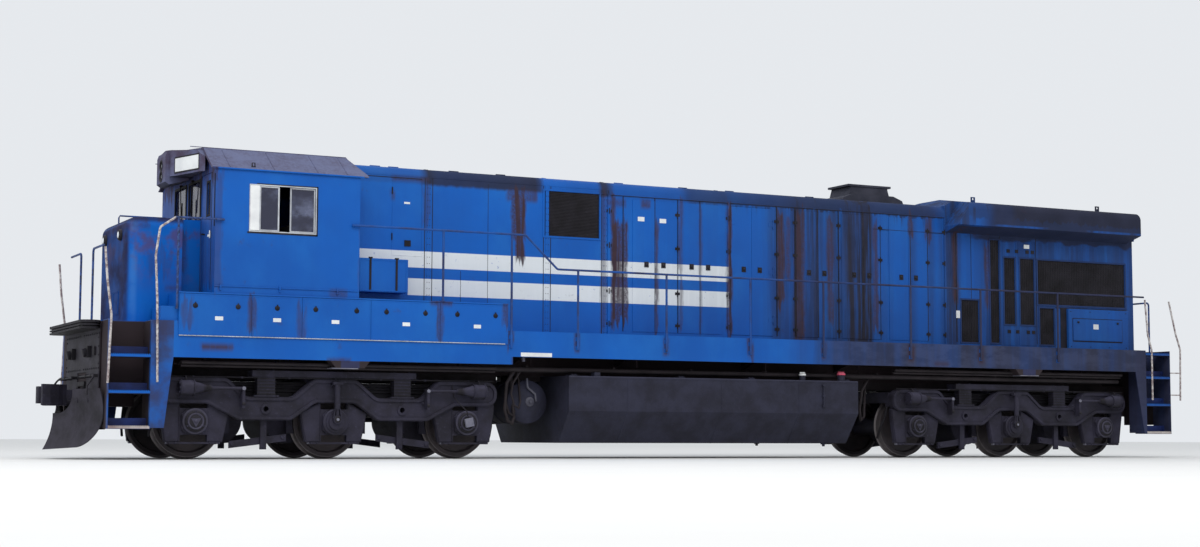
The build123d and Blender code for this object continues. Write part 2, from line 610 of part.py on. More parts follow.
with BuildPart() as headlight_housing:
    face_x = CAB_FRONT_X - 60
    boards = [(face_x, 1120), (-8262, 1080), (-8462, 400), (-8500, 330), (-8500, -330), (-8462, -400),
              (-8262, -1080), (face_x, -1120)]
    flat_plate(boards, up(4070), up(4600))
    hood_line = [(-1120, 4060), (-1120, 4290), (-980, 4390), (0, 4490), (980, 4390), (1120, 4290),
                 (1120, 4060)]
    cross_plate([(y, up(z)) for y, z in hood_line], -8700, face_x, mode=Mode.INTERSECT)
    lamp_box = [(face_x, 4480), (-8540, 4440), (-8560, 4380), (-8560, 4000), (-8500, 3960), (face_x, 4040)]
    side_plate([(x, up(z)) for x, z in lamp_box], -250, 250)
    for lamp_z in (4100.0, 4260.0):
        rod((-8600, 0, up(lamp_z)), (-8520, 0, up(lamp_z)), 68.0, mode=Mode.SUBTRACT)
save(headlight_housing.part, "headlight_housing")

with BuildPart() as cab_windows:
    for side in (-1, 1):
        mid_y = side * (HALF_CAB - CAB_WALL / 2)
        block(SIDE_WINDOW[:2], (mid_y - GLASS / 2, mid_y + GLASS / 2),
              (up(SIDE_WINDOW[2]), up(SIDE_WINDOW[3])))
        block((CAB_FRONT_X + 18, CAB_FRONT_X + 18 + GLASS), (side * WINDSHIELD_Y[0], side * WINDSHIELD_Y[1]),
              (up(WINDSHIELD_Z[0]), up(WINDSHIELD_Z[1])))
save(cab_windows.part, "cab_windows")

with BuildPart() as cab_fittings:
    for seat_x, seat_y in ((-7150.0, 1000.0), (-7150.0, -1000.0), (-6500.0, -500.0)):
        rod((seat_x, seat_y, up(FLOOR_TOP)), (seat_x, seat_y, up(FLOOR_TOP + 440)), 55.0)
        block((seat_x - 230, seat_x + 230), (seat_y - 230, seat_y + 230),
              (up(FLOOR_TOP + 440), up(FLOOR_TOP + 540)))
        block((seat_x + 160, seat_x + 250), (seat_y - 220, seat_y + 220),
              (up(FLOOR_TOP + 540), up(FLOOR_TOP + 1020)))
    stand = [(-7900.0, FLOOR_TOP), (-7450.0, FLOOR_TOP), (-7450.0, FLOOR_TOP + 850),
             (-7600.0, FLOOR_TOP + 1080), (-7900.0, FLOOR_TOP + 1140)]
    side_plate([(x, up(z)) for x, z in stand], 250.0, 700.0)
save(cab_fittings.part, "cab_fittings")

# Nose: rounded shell with a notch beside the cab's front door
with BuildPart() as nose:
    block((NOSE_FRONT_X, CAB_FRONT_X), (-HALF_NOSE, HALF_NOSE), (up(DECK_TOP), up(NOSE_TOP)))
    upright = nose.edges().filter_by(Axis.Z).group_by(Axis.X)[0]
    fillet(upright, NOSE_CORNER)
    top_edges = [e for e in nose.edges().group_by(Axis.Z)[-1] if e.center().X < CAB_FRONT_X - 10]
    fillet(top_edges, 150.0)
    block((NOSE_NOTCH_X, CAB_FRONT_X + 5), (-HALF_NOSE - 5, -NOSE_NOTCH_Y), (up(DECK_TOP), up(NOSE_TOP + 5)),
          mode=Mode.SUBTRACT)
save(nose.part, "nose")


def hood_section(half, top, corner, bottom):
    """The hood's cross section on the current sketch, with two round shoulders."""
    with BuildLine() as outline:
        Polyline((-half + corner, up(top)), (half - corner, up(top)))
        RadiusArc((half - corner, up(top)), (half, up(top - corner)), corner)
        Polyline((half, up(top - corner)), (half, up(bottom)), (-half, up(bottom)),
                 (-half, up(top - corner)))
        RadiusArc((-half, up(top - corner)), (-half + corner, up(top)), corner)
    make_face(outline.line)


# Equipment hood behind the cab, closed, with a recess for each intake screen
INTAKE = (-2735.0, -1772.0, 3447.0, 4156.0)
SCREEN_DEPTH = 30.0
with BuildPart() as equipment_hood:
    with BuildSketch(Plane.YZ.offset(CAB_REAR_X)):
        hood_section(HALF_HOOD, HOOD_TOP, HOOD_CORNER, DECK_TOP)
    extrude(amount=EQUIPMENT_HOOD_REAR_X - CAB_REAR_X)
    for side in (-1, 1):
        block(INTAKE[:2], (side * (HALF_HOOD - SCREEN_DEPTH), side * (HALF_HOOD + 5)),
              (up(INTAKE[2]), up(INTAKE[3])), mode=Mode.SUBTRACT)
    block((-5900, -5130), (-1200, -HALF_HOOD), (up(2434), up(2930)))
save(equipment_hood.part, "equipment_hood")

# Engine hood: a hollow casing with raised doors, one pair open to its leaves on each side
HOOD_HINGE_Z = [up(z) for z in (2250.0, 3045.0, 3840.0)]


def engine_door_pivot(side, hand):
    """The hinge axis of an opening leaf, as x and y."""
    return OPENING_PAIR + hand * (HOOD_DOOR_LEAF + HINGE_SIDE), side * (HALF_HOOD + HINGE_OUT)


with BuildPart() as hood_fittings:
    leaves = [meeting for meeting in HOOD_DOOR_MEETINGS if meeting != OPENING_PAIR]
    for hand in (-1, 1):
        block((hand * DOOR_GAP / 2, hand * HOOD_DOOR_LEAF), (HALF_HOOD, HALF_HOOD + HOOD_DOOR_PROUD),
              (up(HOOD_DOOR_BOTTOM), up(HOOD_DOOR_TOP)), at=along(*leaves))
        hinge_brackets(engine_door_pivot(1, hand), (-hand, 0), (0, 1), HOOD_HINGE_Z)

with BuildPart() as engine_hood:
    with BuildSketch(Plane.YZ.offset(EQUIPMENT_HOOD_REAR_X)):
        hood_section(HALF_HOOD, HOOD_TOP, HOOD_CORNER, DECK_TOP)
    extrude(amount=ENGINE_HOOD_REAR_X - EQUIPMENT_HOOD_REAR_X)
    with BuildSketch(Plane.YZ.offset(EQUIPMENT_HOOD_REAR_X + HOOD_WALL)):
        hood_section(HALF_HOOD - HOOD_WALL, HOOD_TOP - HOOD_WALL, HOOD_CORNER - HOOD_WALL, DECK_TOP)
    extrude(amount=ENGINE_HOOD_REAR_X - EQUIPMENT_HOOD_REAR_X - 2 * HOOD_WALL, mode=Mode.SUBTRACT)
    opening = HOOD_DOOR_LEAF + DOOR_GAP
    for side in (-1, 1):
        block((OPENING_PAIR - opening, OPENING_PAIR + opening),
              (side * (HALF_HOOD - HOOD_WALL - 5), side * (HALF_HOOD + 5)),
              (up(HOOD_DOOR_BOTTOM - DOOR_GAP), up(HOOD_DOOR_TOP + DOOR_GAP)), mode=Mode.SUBTRACT)
    add(hood_fittings.part)
    mirror(hood_fittings.part, about=Plane.XZ)
save(engine_hood.part, "engine_hood")

for side, side_name in ((-1, "left"), (1, "right")):
    for hand, hand_name in ((-1, "front"), (1, "rear")):
        with BuildPart() as leaf:
            leaf_outer = HALF_HOOD + HOOD_DOOR_PROUD
            block((OPENING_PAIR + hand * DOOR_GAP / 2, OPENING_PAIR + hand * HOOD_DOOR_LEAF),
                  (side * (leaf_outer - HOOD_DOOR_THICK), side * leaf_outer),
                  (up(HOOD_DOOR_BOTTOM), up(HOOD_DOOR_TOP)))
            hinge_straps(engine_door_pivot(side, hand), (-hand, 0), (0, side), HOOD_HINGE_Z,
                         HOOD_DOOR_PROUD - HINGE_OUT)
        save(leaf.part, f"engine_door_{side_name}_{hand_name}")

# Engine and generator, as one plain block
with BuildPart() as engine:
    engine_section = [(-480, DECK_TOP), (480, DECK_TOP), (480, 2700), (700, 3300), (500, 3500), (0, 3150),
                      (-500, 3500), (-700, 3300), (-480, 2700)]
    cross_plate([(y, up(z)) for y, z in engine_section], -200.0, 4300.0)
    rod((-1500, 0, up(2650)), (-200, 0, up(2650)), 620.0)
    block((-1500, -200), (-450, 450), (up(DECK_TOP), up(2300)))
save(engine.part, "engine")

# Radiator end: hood below, wings above, recesses for the screens
SCREENS = (
    (6020.0, 6221.0, 1990.0, 3820.0), (6330.0, 6576.0, 2330.0, 3515.0), (6690.0, 7010.0, 2330.0, 3515.0),
    (7090.0, 9140.0, 2710.0, 3508.0), (5372.0, 5756.0, 1985.0, 2730.0), (7127.0, 7457.0, 1985.0, 2642.0),
)
with BuildPart() as radiator_hood:
    block((ENGINE_HOOD_REAR_X, HOOD_REAR_X), (-HALF_HOOD, HALF_HOOD), (up(DECK_TOP), up(WING_EAVE)))
    with BuildSketch(Plane.YZ.offset(WING_REAR_X)):
        with BuildLine():
            Polyline((-WING_Y, up(4300)), (-WING_Y, up(4010)), (-HALF_HOOD, up(3900)),
                     (HALF_HOOD, up(3900)), (WING_Y, up(4010)), (WING_Y, up(4300)))
            RadiusArc((WING_Y, up(4300)), (WING_Y - 150, up(WING_SHOULDER)), -150)
            Polyline((WING_Y - 150, up(WING_SHOULDER)), (300, up(RADIATOR_CROWN)),
                     (-300, up(RADIATOR_CROWN)), (-WING_Y + 150, up(WING_SHOULDER)))
            RadiusArc((-WING_Y + 150, up(WING_SHOULDER)), (-WING_Y, up(4300)), -150)
        make_face()
    extrude(amount=ENGINE_HOOD_REAR_X - WING_REAR_X)
    block((ENGINE_HOOD_REAR_X, HOOD_REAR_X), (-HALF_HOOD, HALF_HOOD), (up(WING_EAVE - 10), up(4330)))
    for side in (-1, 1):
        rake = [(ENGINE_HOOD_REAR_X - 5, up(4000)), (ENGINE_HOOD_REAR_X + 420, up(4600)),
                (ENGINE_HOOD_REAR_X - 5, up(4600))]
        side_plate(rake, side * (HALF_HOOD + 1), side * (WING_Y + 10), mode=Mode.SUBTRACT)
    crown = [(ENGINE_HOOD_REAR_X - 5, up(HOOD_TOP)), (ENGINE_HOOD_REAR_X + 420, up(4600)),
             (ENGINE_HOOD_REAR_X - 5, up(4600))]
    side_plate(crown, -WING_Y, WING_Y, mode=Mode.SUBTRACT)
    block((HOOD_REAR_X, HOOD_REAR_X + 90), (-170, 170), (up(3900), up(4250)))
    for lamp_z in (3990.0, 4160.0):
        rod((HOOD_REAR_X + 60, 0, up(lamp_z)), (HOOD_REAR_X + 100, 0, up(lamp_z)), 68.0, mode=Mode.SUBTRACT)
    for eye_x in (5650.0, 8500.0):
        for side in (-1, 1):
            eye_y = side * EYE_Y
            block((eye_x - 45, eye_x + 45), (eye_y - 8, eye_y + 8), (up(4380), up(4560)))
            rod((eye_x, eye_y - 10, up(4525)), (eye_x, eye_y + 10, up(4525)), 20.0, mode=Mode.SUBTRACT)
    for side in (-1, 1):
        for x0, x1, z0, z1 in SCREENS:
            block((x0, x1), (side * (HALF_HOOD - SCREEN_DEPTH), side * (HALF_HOOD + 5)), (up(z0), up(z1)),
                  mode=Mode.SUBTRACT)
save(radiator_hood.part, "radiator_hood")

with BuildPart() as screens:
    for side in (-1, 1):
        for x0, x1, z0, z1 in (*SCREENS, INTAKE):
            block((x0, x1), (side * (HALF_HOOD - SCREEN_DEPTH), side * (HALF_HOOD - SCREEN_DEPTH + 15)),
                  (up(z0), up(z1)))
save(screens.part, "screens")

with BuildPart() as exhaust_stack:
    base = [(3190, HOOD_TOP), (3230, 4470), (3420, 4540), (4280, 4540), (4470, 4470), (4510, HOOD_TOP)]
    side_plate([(x, up(z)) for x, z in base], -420, 420)
    chimney = [(3420, 4530), (3470, 4700), (4230, 4700), (4280, 4530)]
    side_plate([(x, up(z)) for x, z in chimney], -300, 300)
    block((3400, 4300), (-320, 320), (up(4690), up(4725)))
    block((3560, 4140), (-170, 170), (up(4480), up(4730)), mode=Mode.SUBTRACT)
save(exhaust_stack.part, "exhaust_stack")

# Fuel tank and air reservoirs
with BuildPart() as fuel_tank:
    tank = [(-TANK_HALF_TOP, TANK_TOP), (-TANK_HALF_TOP, TANK_KNUCKLE), (-TANK_HALF_BOTTOM, TANK_BOTTOM),
            (TANK_HALF_BOTTOM, TANK_BOTTOM), (TANK_HALF_TOP, TANK_KNUCKLE), (TANK_HALF_TOP, TANK_TOP)]
    cross_plate([(y, up(z)) for y, z in tank], *TANK_X)
    fillet(fuel_tank.edges().filter_by(Axis.X), TANK_CORNER)
    for side in (-1, 1):
        block(TANK_X, (side * (CENTRE_SILL_Y - 100), side * (CENTRE_SILL_Y + 100)),
              (up(TANK_TOP), up(CENTRE_SILL_BOTTOM)))
        block((-2100, -2000), (side * (TANK_HALF_TOP - 180), side * (TANK_HALF_TOP - 60)),
              (up(TANK_TOP - 20), up(TANK_TOP + 60)))
        rod((1746, side * 1350, up(TANK_TOP - 20)), (1746, side * 1350, up(TANK_TOP + 90)), 50.0)
        rod((2510, side * 1350, up(TANK_TOP - 20)), (2510, side * 1350, up(TANK_TOP + 110)), 62.0)
save(fuel_tank.part, "fuel_tank")

with BuildPart() as air_reservoirs:
    for side in (-1, 1):
        with BuildSketch(Plane(origin=(RESERVOIR_X, 0, up(RESERVOIR_HEIGHT)), x_dir=(0, 1, 0),
                               z_dir=(1, 0, 0))):
            with BuildLine():
                Polyline((side * 60, 0), (side * 60, RESERVOIR_RADIUS),
                         (side * (RESERVOIR_END_Y - 100), RESERVOIR_RADIUS))
                ThreePointArc((side * (RESERVOIR_END_Y - 100), RESERVOIR_RADIUS),
                              (side * (RESERVOIR_END_Y - 35), RESERVOIR_RADIUS * 0.66),
                              (side * RESERVOIR_END_Y, 60))
                Polyline((side * RESERVOIR_END_Y, 60), (side * RESERVOIR_END_Y, 0), (side * 60, 0))
            make_face()
        revolve(axis=Axis((RESERVOIR_X, 0, up(RESERVOIR_HEIGHT)), (0, 1, 0)))
        for strap_y in (330.0, 800.0):
            rod((RESERVOIR_X, side * (strap_y - 30), up(RESERVOIR_HEIGHT)),
                (RESERVOIR_X, side * (strap_y + 30), up(RESERVOIR_HEIGHT)), RESERVOIR_RADIUS + 8)
        block((RESERVOIR_X - 30, RESERVOIR_X + 30), (side * 300, side * 360),
              (up(RESERVOIR_HEIGHT + RESERVOIR_RADIUS), up(CENTRE_SILL_BOTTOM)))
save(air_reservoirs.part, "air_reservoirs")

# Wheelsets: one profile of half an axle with its wheel, turned about the axle and mirrored
WHEEL_PROFILE = (
    (0, 0), (1190, 0), (1190, JOURNAL_RADIUS), (975, JOURNAL_RADIUS), (975, 98), (840, 98), (840, 150),
    (800, 165), (770, 200), (762, TREAD_RADIUS - 88), (806, TREAD_RADIUS - 68),
    (816, TREAD_RADIUS - 62), (816, TREAD_RADIUS - 3),
    (712, TREAD_RADIUS + 2), (700, TREAD_RADIUS + 14), (693, TREAD_RADIUS + FLANGE_DEPTH),
    (682, TREAD_RADIUS + FLANGE_DEPTH - 4), (677, TREAD_RADIUS), (677, TREAD_RADIUS - 62),
    (716, TREAD_RADIUS - 78), (722, 210),
    (690, 165), (660, 150), (660, AXLE_RADIUS), (0, AXLE_RADIUS),
)
AXLES = [truck_x + step * AXLE_SPACING for truck_x in TRUCKS.values() for step in (-1, 0, 1)]

for number, axle_x in enumerate(AXLES, start=1):
    with BuildPart() as wheelset:
        with BuildSketch(Plane(origin=(axle_x, 0, AXLE_Z), x_dir=(0, 1, 0), z_dir=(1, 0, 0))):
            with BuildLine():
                Polyline(*WHEEL_PROFILE, close=True)
            make_face()
        revolve(axis=Axis((axle_x, 0, AXLE_Z), (0, 1, 0)))
        mirror(about=Plane.XZ)
    save(wheelset.part, f"wheelset_{number}")

# Trucks: cast side frames with a wavy beam and open pedestal jaws. Each part is drawn on one side and
# mirrored; x is measured from the truck's centre and z from the rail
END_X = 2570.0
ARCH_END = 760.0
CAST_CORNER = 165.0
CAST_STEP = 14.0
CAST_POCKET = 24.0
CAST_RIM = 52.0
LEG_CORNER = 22.0
SNUBBER_Y = 1290.0
BRAKE_LINK = ((1527, 130), (1527, 230), (691, 333), (691, 233))
SHOES = ((-1, 1), (0, -1), (0, 1), (1, -1))
BRAKE_CYLINDER = (
    (0, 0), (0, 96), (14, 108), (190, 108), (204, 96), (330, 62), (400, 40), (470, 34), (470, 22), (950, 22),
    (950, 0),
)
WAVE = (
    (330, FRAME_TOP), (640, FRAME_DIP), (1345, FRAME_DIP), (1600, FRAME_TOP), (END_X, FRAME_TOP),
    (END_X, ARCH_END), (1890, ARCH_END), (1440, BEAM_BOTTOM), (660, BEAM_BOTTOM), (300, ARCH_BOTTOM),
)
LEGS = (
    ((JAW_HALF, JAW_BOTTOM), (425, JAW_BOTTOM), (510, 640), (JAW_HALF, 800)),
    ((1650, JAW_BOTTOM), (AXLE_SPACING - JAW_HALF, JAW_BOTTOM), (AXLE_SPACING - JAW_HALF, 800), (1560, 640)),
    ((AXLE_SPACING + JAW_HALF, JAW_BOTTOM), (2480, JAW_BOTTOM), (2550, 700), (2550, 800),
     (AXLE_SPACING + JAW_HALF, 800)),
)
BOX_HOUSING = (
    (-185, 400), (-130, 345), (130, 345), (185, 400), (185, 600), (110, 672), (-110, 672), (-185, 600),
)

for truck, truck_x in TRUCKS.items():
    axles = along(*[truck_x + step * AXLE_SPACING for step in (-1, 0, 1)])
    dips = along(truck_x - DIP_X, truck_x + DIP_X)
    wave = [(truck_x + x, up(z)) for x, z in WAVE] + [(truck_x - x, up(z)) for x, z in WAVE[::-1]]
    legs = [[(truck_x + hand * x, up(z)) for x, z in leg] for leg in LEGS for hand in (-1, 1)]
    with BuildPart() as truck_frame:
        corner = min(CAST_CORNER, (FRAME_TOP - ARCH_END) / 2.1)
        cast_plates([wave], FRAME_INNER_Y, BEAM_OUTER_Y, corner, rim=CAST_RIM)
        cast_plates(legs, FRAME_INNER_Y, PEDESTAL_OUTER_Y, LEG_CORNER)
        rod((0, BEAM_OUTER_Y - CAST_POCKET, up(690)), (0, BEAM_OUTER_Y - 4, up(690)), 74.0, at=dips)
        rod((0, FRAME_INNER_Y - 5, up(690)), (0, BEAM_OUTER_Y + 5, up(690)), 40.0, mode=Mode.SUBTRACT,
            at=dips)
        block((-380, 380), (FRAME_INNER_Y + 10, PEDESTAL_OUTER_Y), (up(JAW_BOTTOM - 27), up(JAW_BOTTOM)),
              at=axles)
        block((truck_x - 75, truck_x + 75), (BEAM_OUTER_Y - CAST_POCKET, SNUBBER_Y + 30),
              (up(1050), up(1090)))
        mirror(about=Plane.XZ)
        block((-140, 140), (-FRAME_INNER_Y, FRAME_INNER_Y), (up(600), up(FRAME_DIP)), at=dips)
        block((-40, 40), (-FRAME_INNER_Y, FRAME_INNER_Y), (up(900), up(1080)),
              at=along(truck_x - END_X + 40, truck_x + END_X - 40))
    save(truck_frame.part, f"truck_frame_{truck}")

    with BuildPart() as journal_boxes:
        block((-JAW_HALF, JAW_HALF), (1000, 1150), (up(JOURNAL_BOX_BOTTOM), up(JOURNAL_BOX_TOP)), at=axles)
        housings = [[(shift[0] + x, up(z)) for x, z in BOX_HOUSING] for shift in axles]
        cast_plates(housings, 1150, 1215, 30.0)
        rod((0, 1215, AXLE_Z), (0, 1248, AXLE_Z), 150.0, at=axles)
        rod((0, 1248, AXLE_Z), (0, JOURNAL_CAP_Y, AXLE_Z), 112.0, at=axles)
        rod((0, 990, AXLE_Z), (0, 1195, AXLE_Z), JOURNAL_RADIUS + RUNNING_GAP, mode=Mode.SUBTRACT, at=axles)
        rod((truck_x, SNUBBER_Y, up(700)), (truck_x, SNUBBER_Y, up(1050)), 42.0)
        rod((truck_x, SNUBBER_Y, up(560)), (truck_x, SNUBBER_Y, up(700)), 28.0)
        rod((truck_x, JOURNAL_CAP_Y, up(545)), (truck_x, SNUBBER_Y + 28, up(545)), 62.0)
        mirror(about=Plane.XZ)
    save(journal_boxes.part, f"journal_boxes_{truck}")

    with BuildPart() as bolster:
        block((-130, 130), (1060, 1195), (up(FRAME_DIP), up(BOLSTER_BOTTOM)), at=dips)
        block((-185, 185), (FRAME_INNER_Y, BEAM_OUTER_Y), (up(FRAME_DIP), up(FRAME_DIP + 24)), at=dips)
        block((truck_x - 1250, truck_x + 1250), (960, 1210), (up(BOLSTER_BOTTOM), up(BOLSTER_TOP)))
        mirror(about=Plane.XZ)
        block((truck_x - 380, truck_x + 380), (-960, 960), (up(1090), up(BOLSTER_TOP)))
    save(bolster.part, f"truck_bolster_{truck}")

    with BuildPart() as brakes:
        for hand in (-1, 1):
            turned(BRAKE_CYLINDER, (truck_x + hand * 2330, BRAKE_Y, up(975)), (-hand, 0, 0))
            block((truck_x + hand * 2120, truck_x + hand * 2300), (BEAM_OUTER_Y, BRAKE_Y),
                  (up(900), up(1050)))
            block((truck_x + hand * 1385, truck_x + hand * 1425), (BEAM_OUTER_Y, BRAKE_Y + 24),
                  (up(700), up(1010)))
            side_plate([(truck_x + hand * x, up(z)) for x, z in BRAKE_LINK], 1010, 1055)
        block((-45, 45), (1055, 1100), (up(113), up(BEAM_BOTTOM)), at=dips)
        reach = TREAD_RADIUS + SHOE_GAP
        with BuildSketch(Plane.XZ.offset(-SHOE_Y[0])):
            for step, hand in SHOES:
                shoe_x = truck_x + step * AXLE_SPACING + hand * (reach + SHOE_THICK / 2)
                with Locations((shoe_x, AXLE_Z)):
                    Rectangle(SHOE_THICK + 60, 330)
            for step in (-1, 0, 1):
                with Locations((truck_x + step * AXLE_SPACING, AXLE_Z)):
                    Circle(reach, mode=Mode.SUBTRACT)
        extrude(amount=SHOE_Y[0] - SHOE_Y[1])
        backs = [step * AXLE_SPACING + hand * (reach + SHOE_THICK) for step, hand in SHOES]
        hangers = along(*[truck_x + back for back in backs])
        block((-14, 14), (735, 765), (AXLE_Z, up(830)), at=hangers)
        block((-20, 20), (735, FRAME_INNER_Y), (up(760), up(830)), at=hangers)
        mirror(about=Plane.XZ)
    save(brakes.part, f"brake_gear_{truck}")

    with BuildPart() as motors:
        for axle, motor in ((-1, 1), (0, -1), (1, -1)):
            axle_x = truck_x + axle * AXLE_SPACING
            motor_x = axle_x + motor * MOTOR_OFFSET
            rod((motor_x, -560, AXLE_Z + 20), (motor_x, 560, AXLE_Z + 20), MOTOR_RADIUS)
            block((axle_x, motor_x), (-540, 540), (AXLE_Z - 150, AXLE_Z + 150))
            block((motor_x - 150, motor_x + 150), (150, 430), (AXLE_Z + 200, up(MOTOR_DUCT_TOP)))
        rod((0, -540, AXLE_Z), (0, 540, AXLE_Z), 150.0, at=axles)
        rod((0, -640, AXLE_Z), (0, 640, AXLE_Z), AXLE_RADIUS + RUNNING_GAP, mode=Mode.SUBTRACT, at=axles)
    save(motors.part, f"traction_motors_{truck}")

# Handrails: a low rail with its posts, a raised length beside the tall box, and grab irons at the ends
POSTS = (-4705.0, -3588.0, -2467.0, -911.0, 637.0, 2043.0, 3800.0, 5280.0, 6980.0)
RAISED_REAR_X = -3400.0
BEND = 60.0
for side, name in ((-1, "handrail_left"), (1, "handrail_right")):
    y = side * RAIL_Y
    with BuildPart() as handrail:
        raised = [(-6135, y, up(HIGH_RAIL)), (-3364, y, up(HIGH_RAIL)), (-2820, y, up(LOW_RAIL)),
                  (8980, y, up(LOW_RAIL))]
        pipe(raised, RAIL_RADIUS, BEND)
        rod((-6115, side * HALF_CAB, up(HIGH_RAIL)), (-6115, y, up(HIGH_RAIL)), 14.0)
        for post_x in POSTS:
            on_box = post_x < BOX_REAR_X[side]
            foot = BOX_TOP + SHEET if on_box else 1640
            rod((post_x, y, up(foot)), (post_x, y, up(HIGH_RAIL if post_x < RAISED_REAR_X else LOW_RAIL)),
                POST_RADIUS)
            if on_box:
                block((post_x - 35, post_x + 35), (side * (HALF_SILL - 64), y + side * POST_RADIUS),
                      (up(BOX_TOP), up(BOX_TOP + SHEET)))
    save(handrail.part, name)

GRABS = (
    ((-8030, 3340), (-8717, 3339), (-8937, 3187), (-8990, 2794), (-8955, 2170), (-8930, 1040)),
    ((-9683, 2879), (-9644, 2426), (-9578, 1948), (-9608, 1018)),
    ((9009, 2815), (9062, 2180), (9150, 1911), (9148, 1006)),
    ((9584, 2803), (9736, 2202), (9837, 1930), (9815, 1000)),
)
GRAB_FEET = (
    (-8954, HALF_SILL, 1850, -8954), (-8935, HALF_SILL, 1300, -8935),
    (-9590, HALF_SILL, 1500, -9590), (-9594, HALF_SILL, 1100, -9594),
    (9149, HALF_SILL, 1828, 9149), (9149, HALF_SILL, 1403, 9149),
    (9602.5, HALF_SILL - 22, 1500, 9825), (9602.5, HALF_SILL - 22, 1100, 9815),
)
with BuildPart() as grab_irons:
    for side in (-1, 1):
        for points in GRABS:
            pipe([(x, side * RAIL_Y, up(z)) for x, z in points], RAIL_RADIUS, BEND)
        rod((-8060, side * HALF_CAB, up(3340)), (-8060, side * RAIL_Y, up(3340)), 14.0)
        rod((-8680, side * RAIL_Y, up(2060)), (-8680, side * RAIL_Y, up(3339)), RAIL_RADIUS)
        rod((-8680, side * (HALF_SILL - 44), up(2075)), (-8680, side * RAIL_Y, up(2075)), 11.0)
        for foot_x, foot_y, z, grab_x in GRAB_FEET:
            rod((foot_x, side * foot_y, up(z)), (grab_x, side * RAIL_Y, up(z)), 11.0)
        pipe([(-9600, side * 1070, up(2950)), (-9600, side * 400, up(2950)),
              (-9600, side * 400, up(DECK_TOP))], RAIL_RADIUS, BEND)
        pipe([(9560, side * 1050, up(DECK_TOP)), (9560, side * 1050, up(2810)), (9560, side * 400, up(2810)),
              (9560, side * 400, up(DECK_TOP))], RAIL_RADIUS, BEND)
save(grab_irons.part, "grab_irons")
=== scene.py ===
import math

import bpy
from mathutils import Matrix, Vector


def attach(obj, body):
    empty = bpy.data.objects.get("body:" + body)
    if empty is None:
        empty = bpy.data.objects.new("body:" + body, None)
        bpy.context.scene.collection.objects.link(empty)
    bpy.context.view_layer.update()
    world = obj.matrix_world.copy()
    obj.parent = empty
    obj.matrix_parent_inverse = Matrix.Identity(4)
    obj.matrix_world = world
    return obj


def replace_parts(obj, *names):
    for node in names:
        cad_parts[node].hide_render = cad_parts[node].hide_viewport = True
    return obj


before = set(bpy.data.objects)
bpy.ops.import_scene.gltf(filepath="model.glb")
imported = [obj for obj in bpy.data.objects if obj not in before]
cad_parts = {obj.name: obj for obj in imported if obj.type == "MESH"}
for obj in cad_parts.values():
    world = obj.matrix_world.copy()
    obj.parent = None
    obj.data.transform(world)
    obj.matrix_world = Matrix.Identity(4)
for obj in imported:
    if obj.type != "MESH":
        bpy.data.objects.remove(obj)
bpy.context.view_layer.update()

RAIL = 0.0286


def up(z):
    """The height in the row frame of a height above the rail top."""
    return z + RAIL


# Camera: solved from the photograph, in the row frame
CAMERA_AT = (-15.42722, -27.59254, up(0.29687))
YAW, PITCH, ROLL = 0.47318, 0.08626, 0.00312
SENSOR = 36
LENS = 1897.708 * SENSOR / 1200

forward = Vector((math.sin(YAW) * math.cos(PITCH), math.cos(YAW) * math.cos(PITCH), math.sin(PITCH)))
level = Vector((math.cos(YAW), -math.sin(YAW), 0))
lift = level.cross(forward)
right = level * math.cos(ROLL) + lift * math.sin(ROLL)
above = lift * math.cos(ROLL) - level * math.sin(ROLL)
turn = Matrix((right, above, -forward)).transposed().to_4x4()
camera = bpy.data.objects.new("camera", bpy.data.cameras.new("camera"))
camera.data.lens = LENS
camera.data.sensor_width = SENSOR
camera.data.clip_end = 500
camera.matrix_world = Matrix.Translation(CAMERA_AT) @ turn
bpy.context.collection.objects.link(camera)
bpy.context.scene.camera = camera
bpy.context.scene.view_settings.view_transform = "Standard"


def linear(channel):
    """A display value of 0 to 255 as linear light."""
    share = channel / 255
    return share / 12.92 if share < 0.04045 else ((share + 0.055) / 1.055) ** 2.4


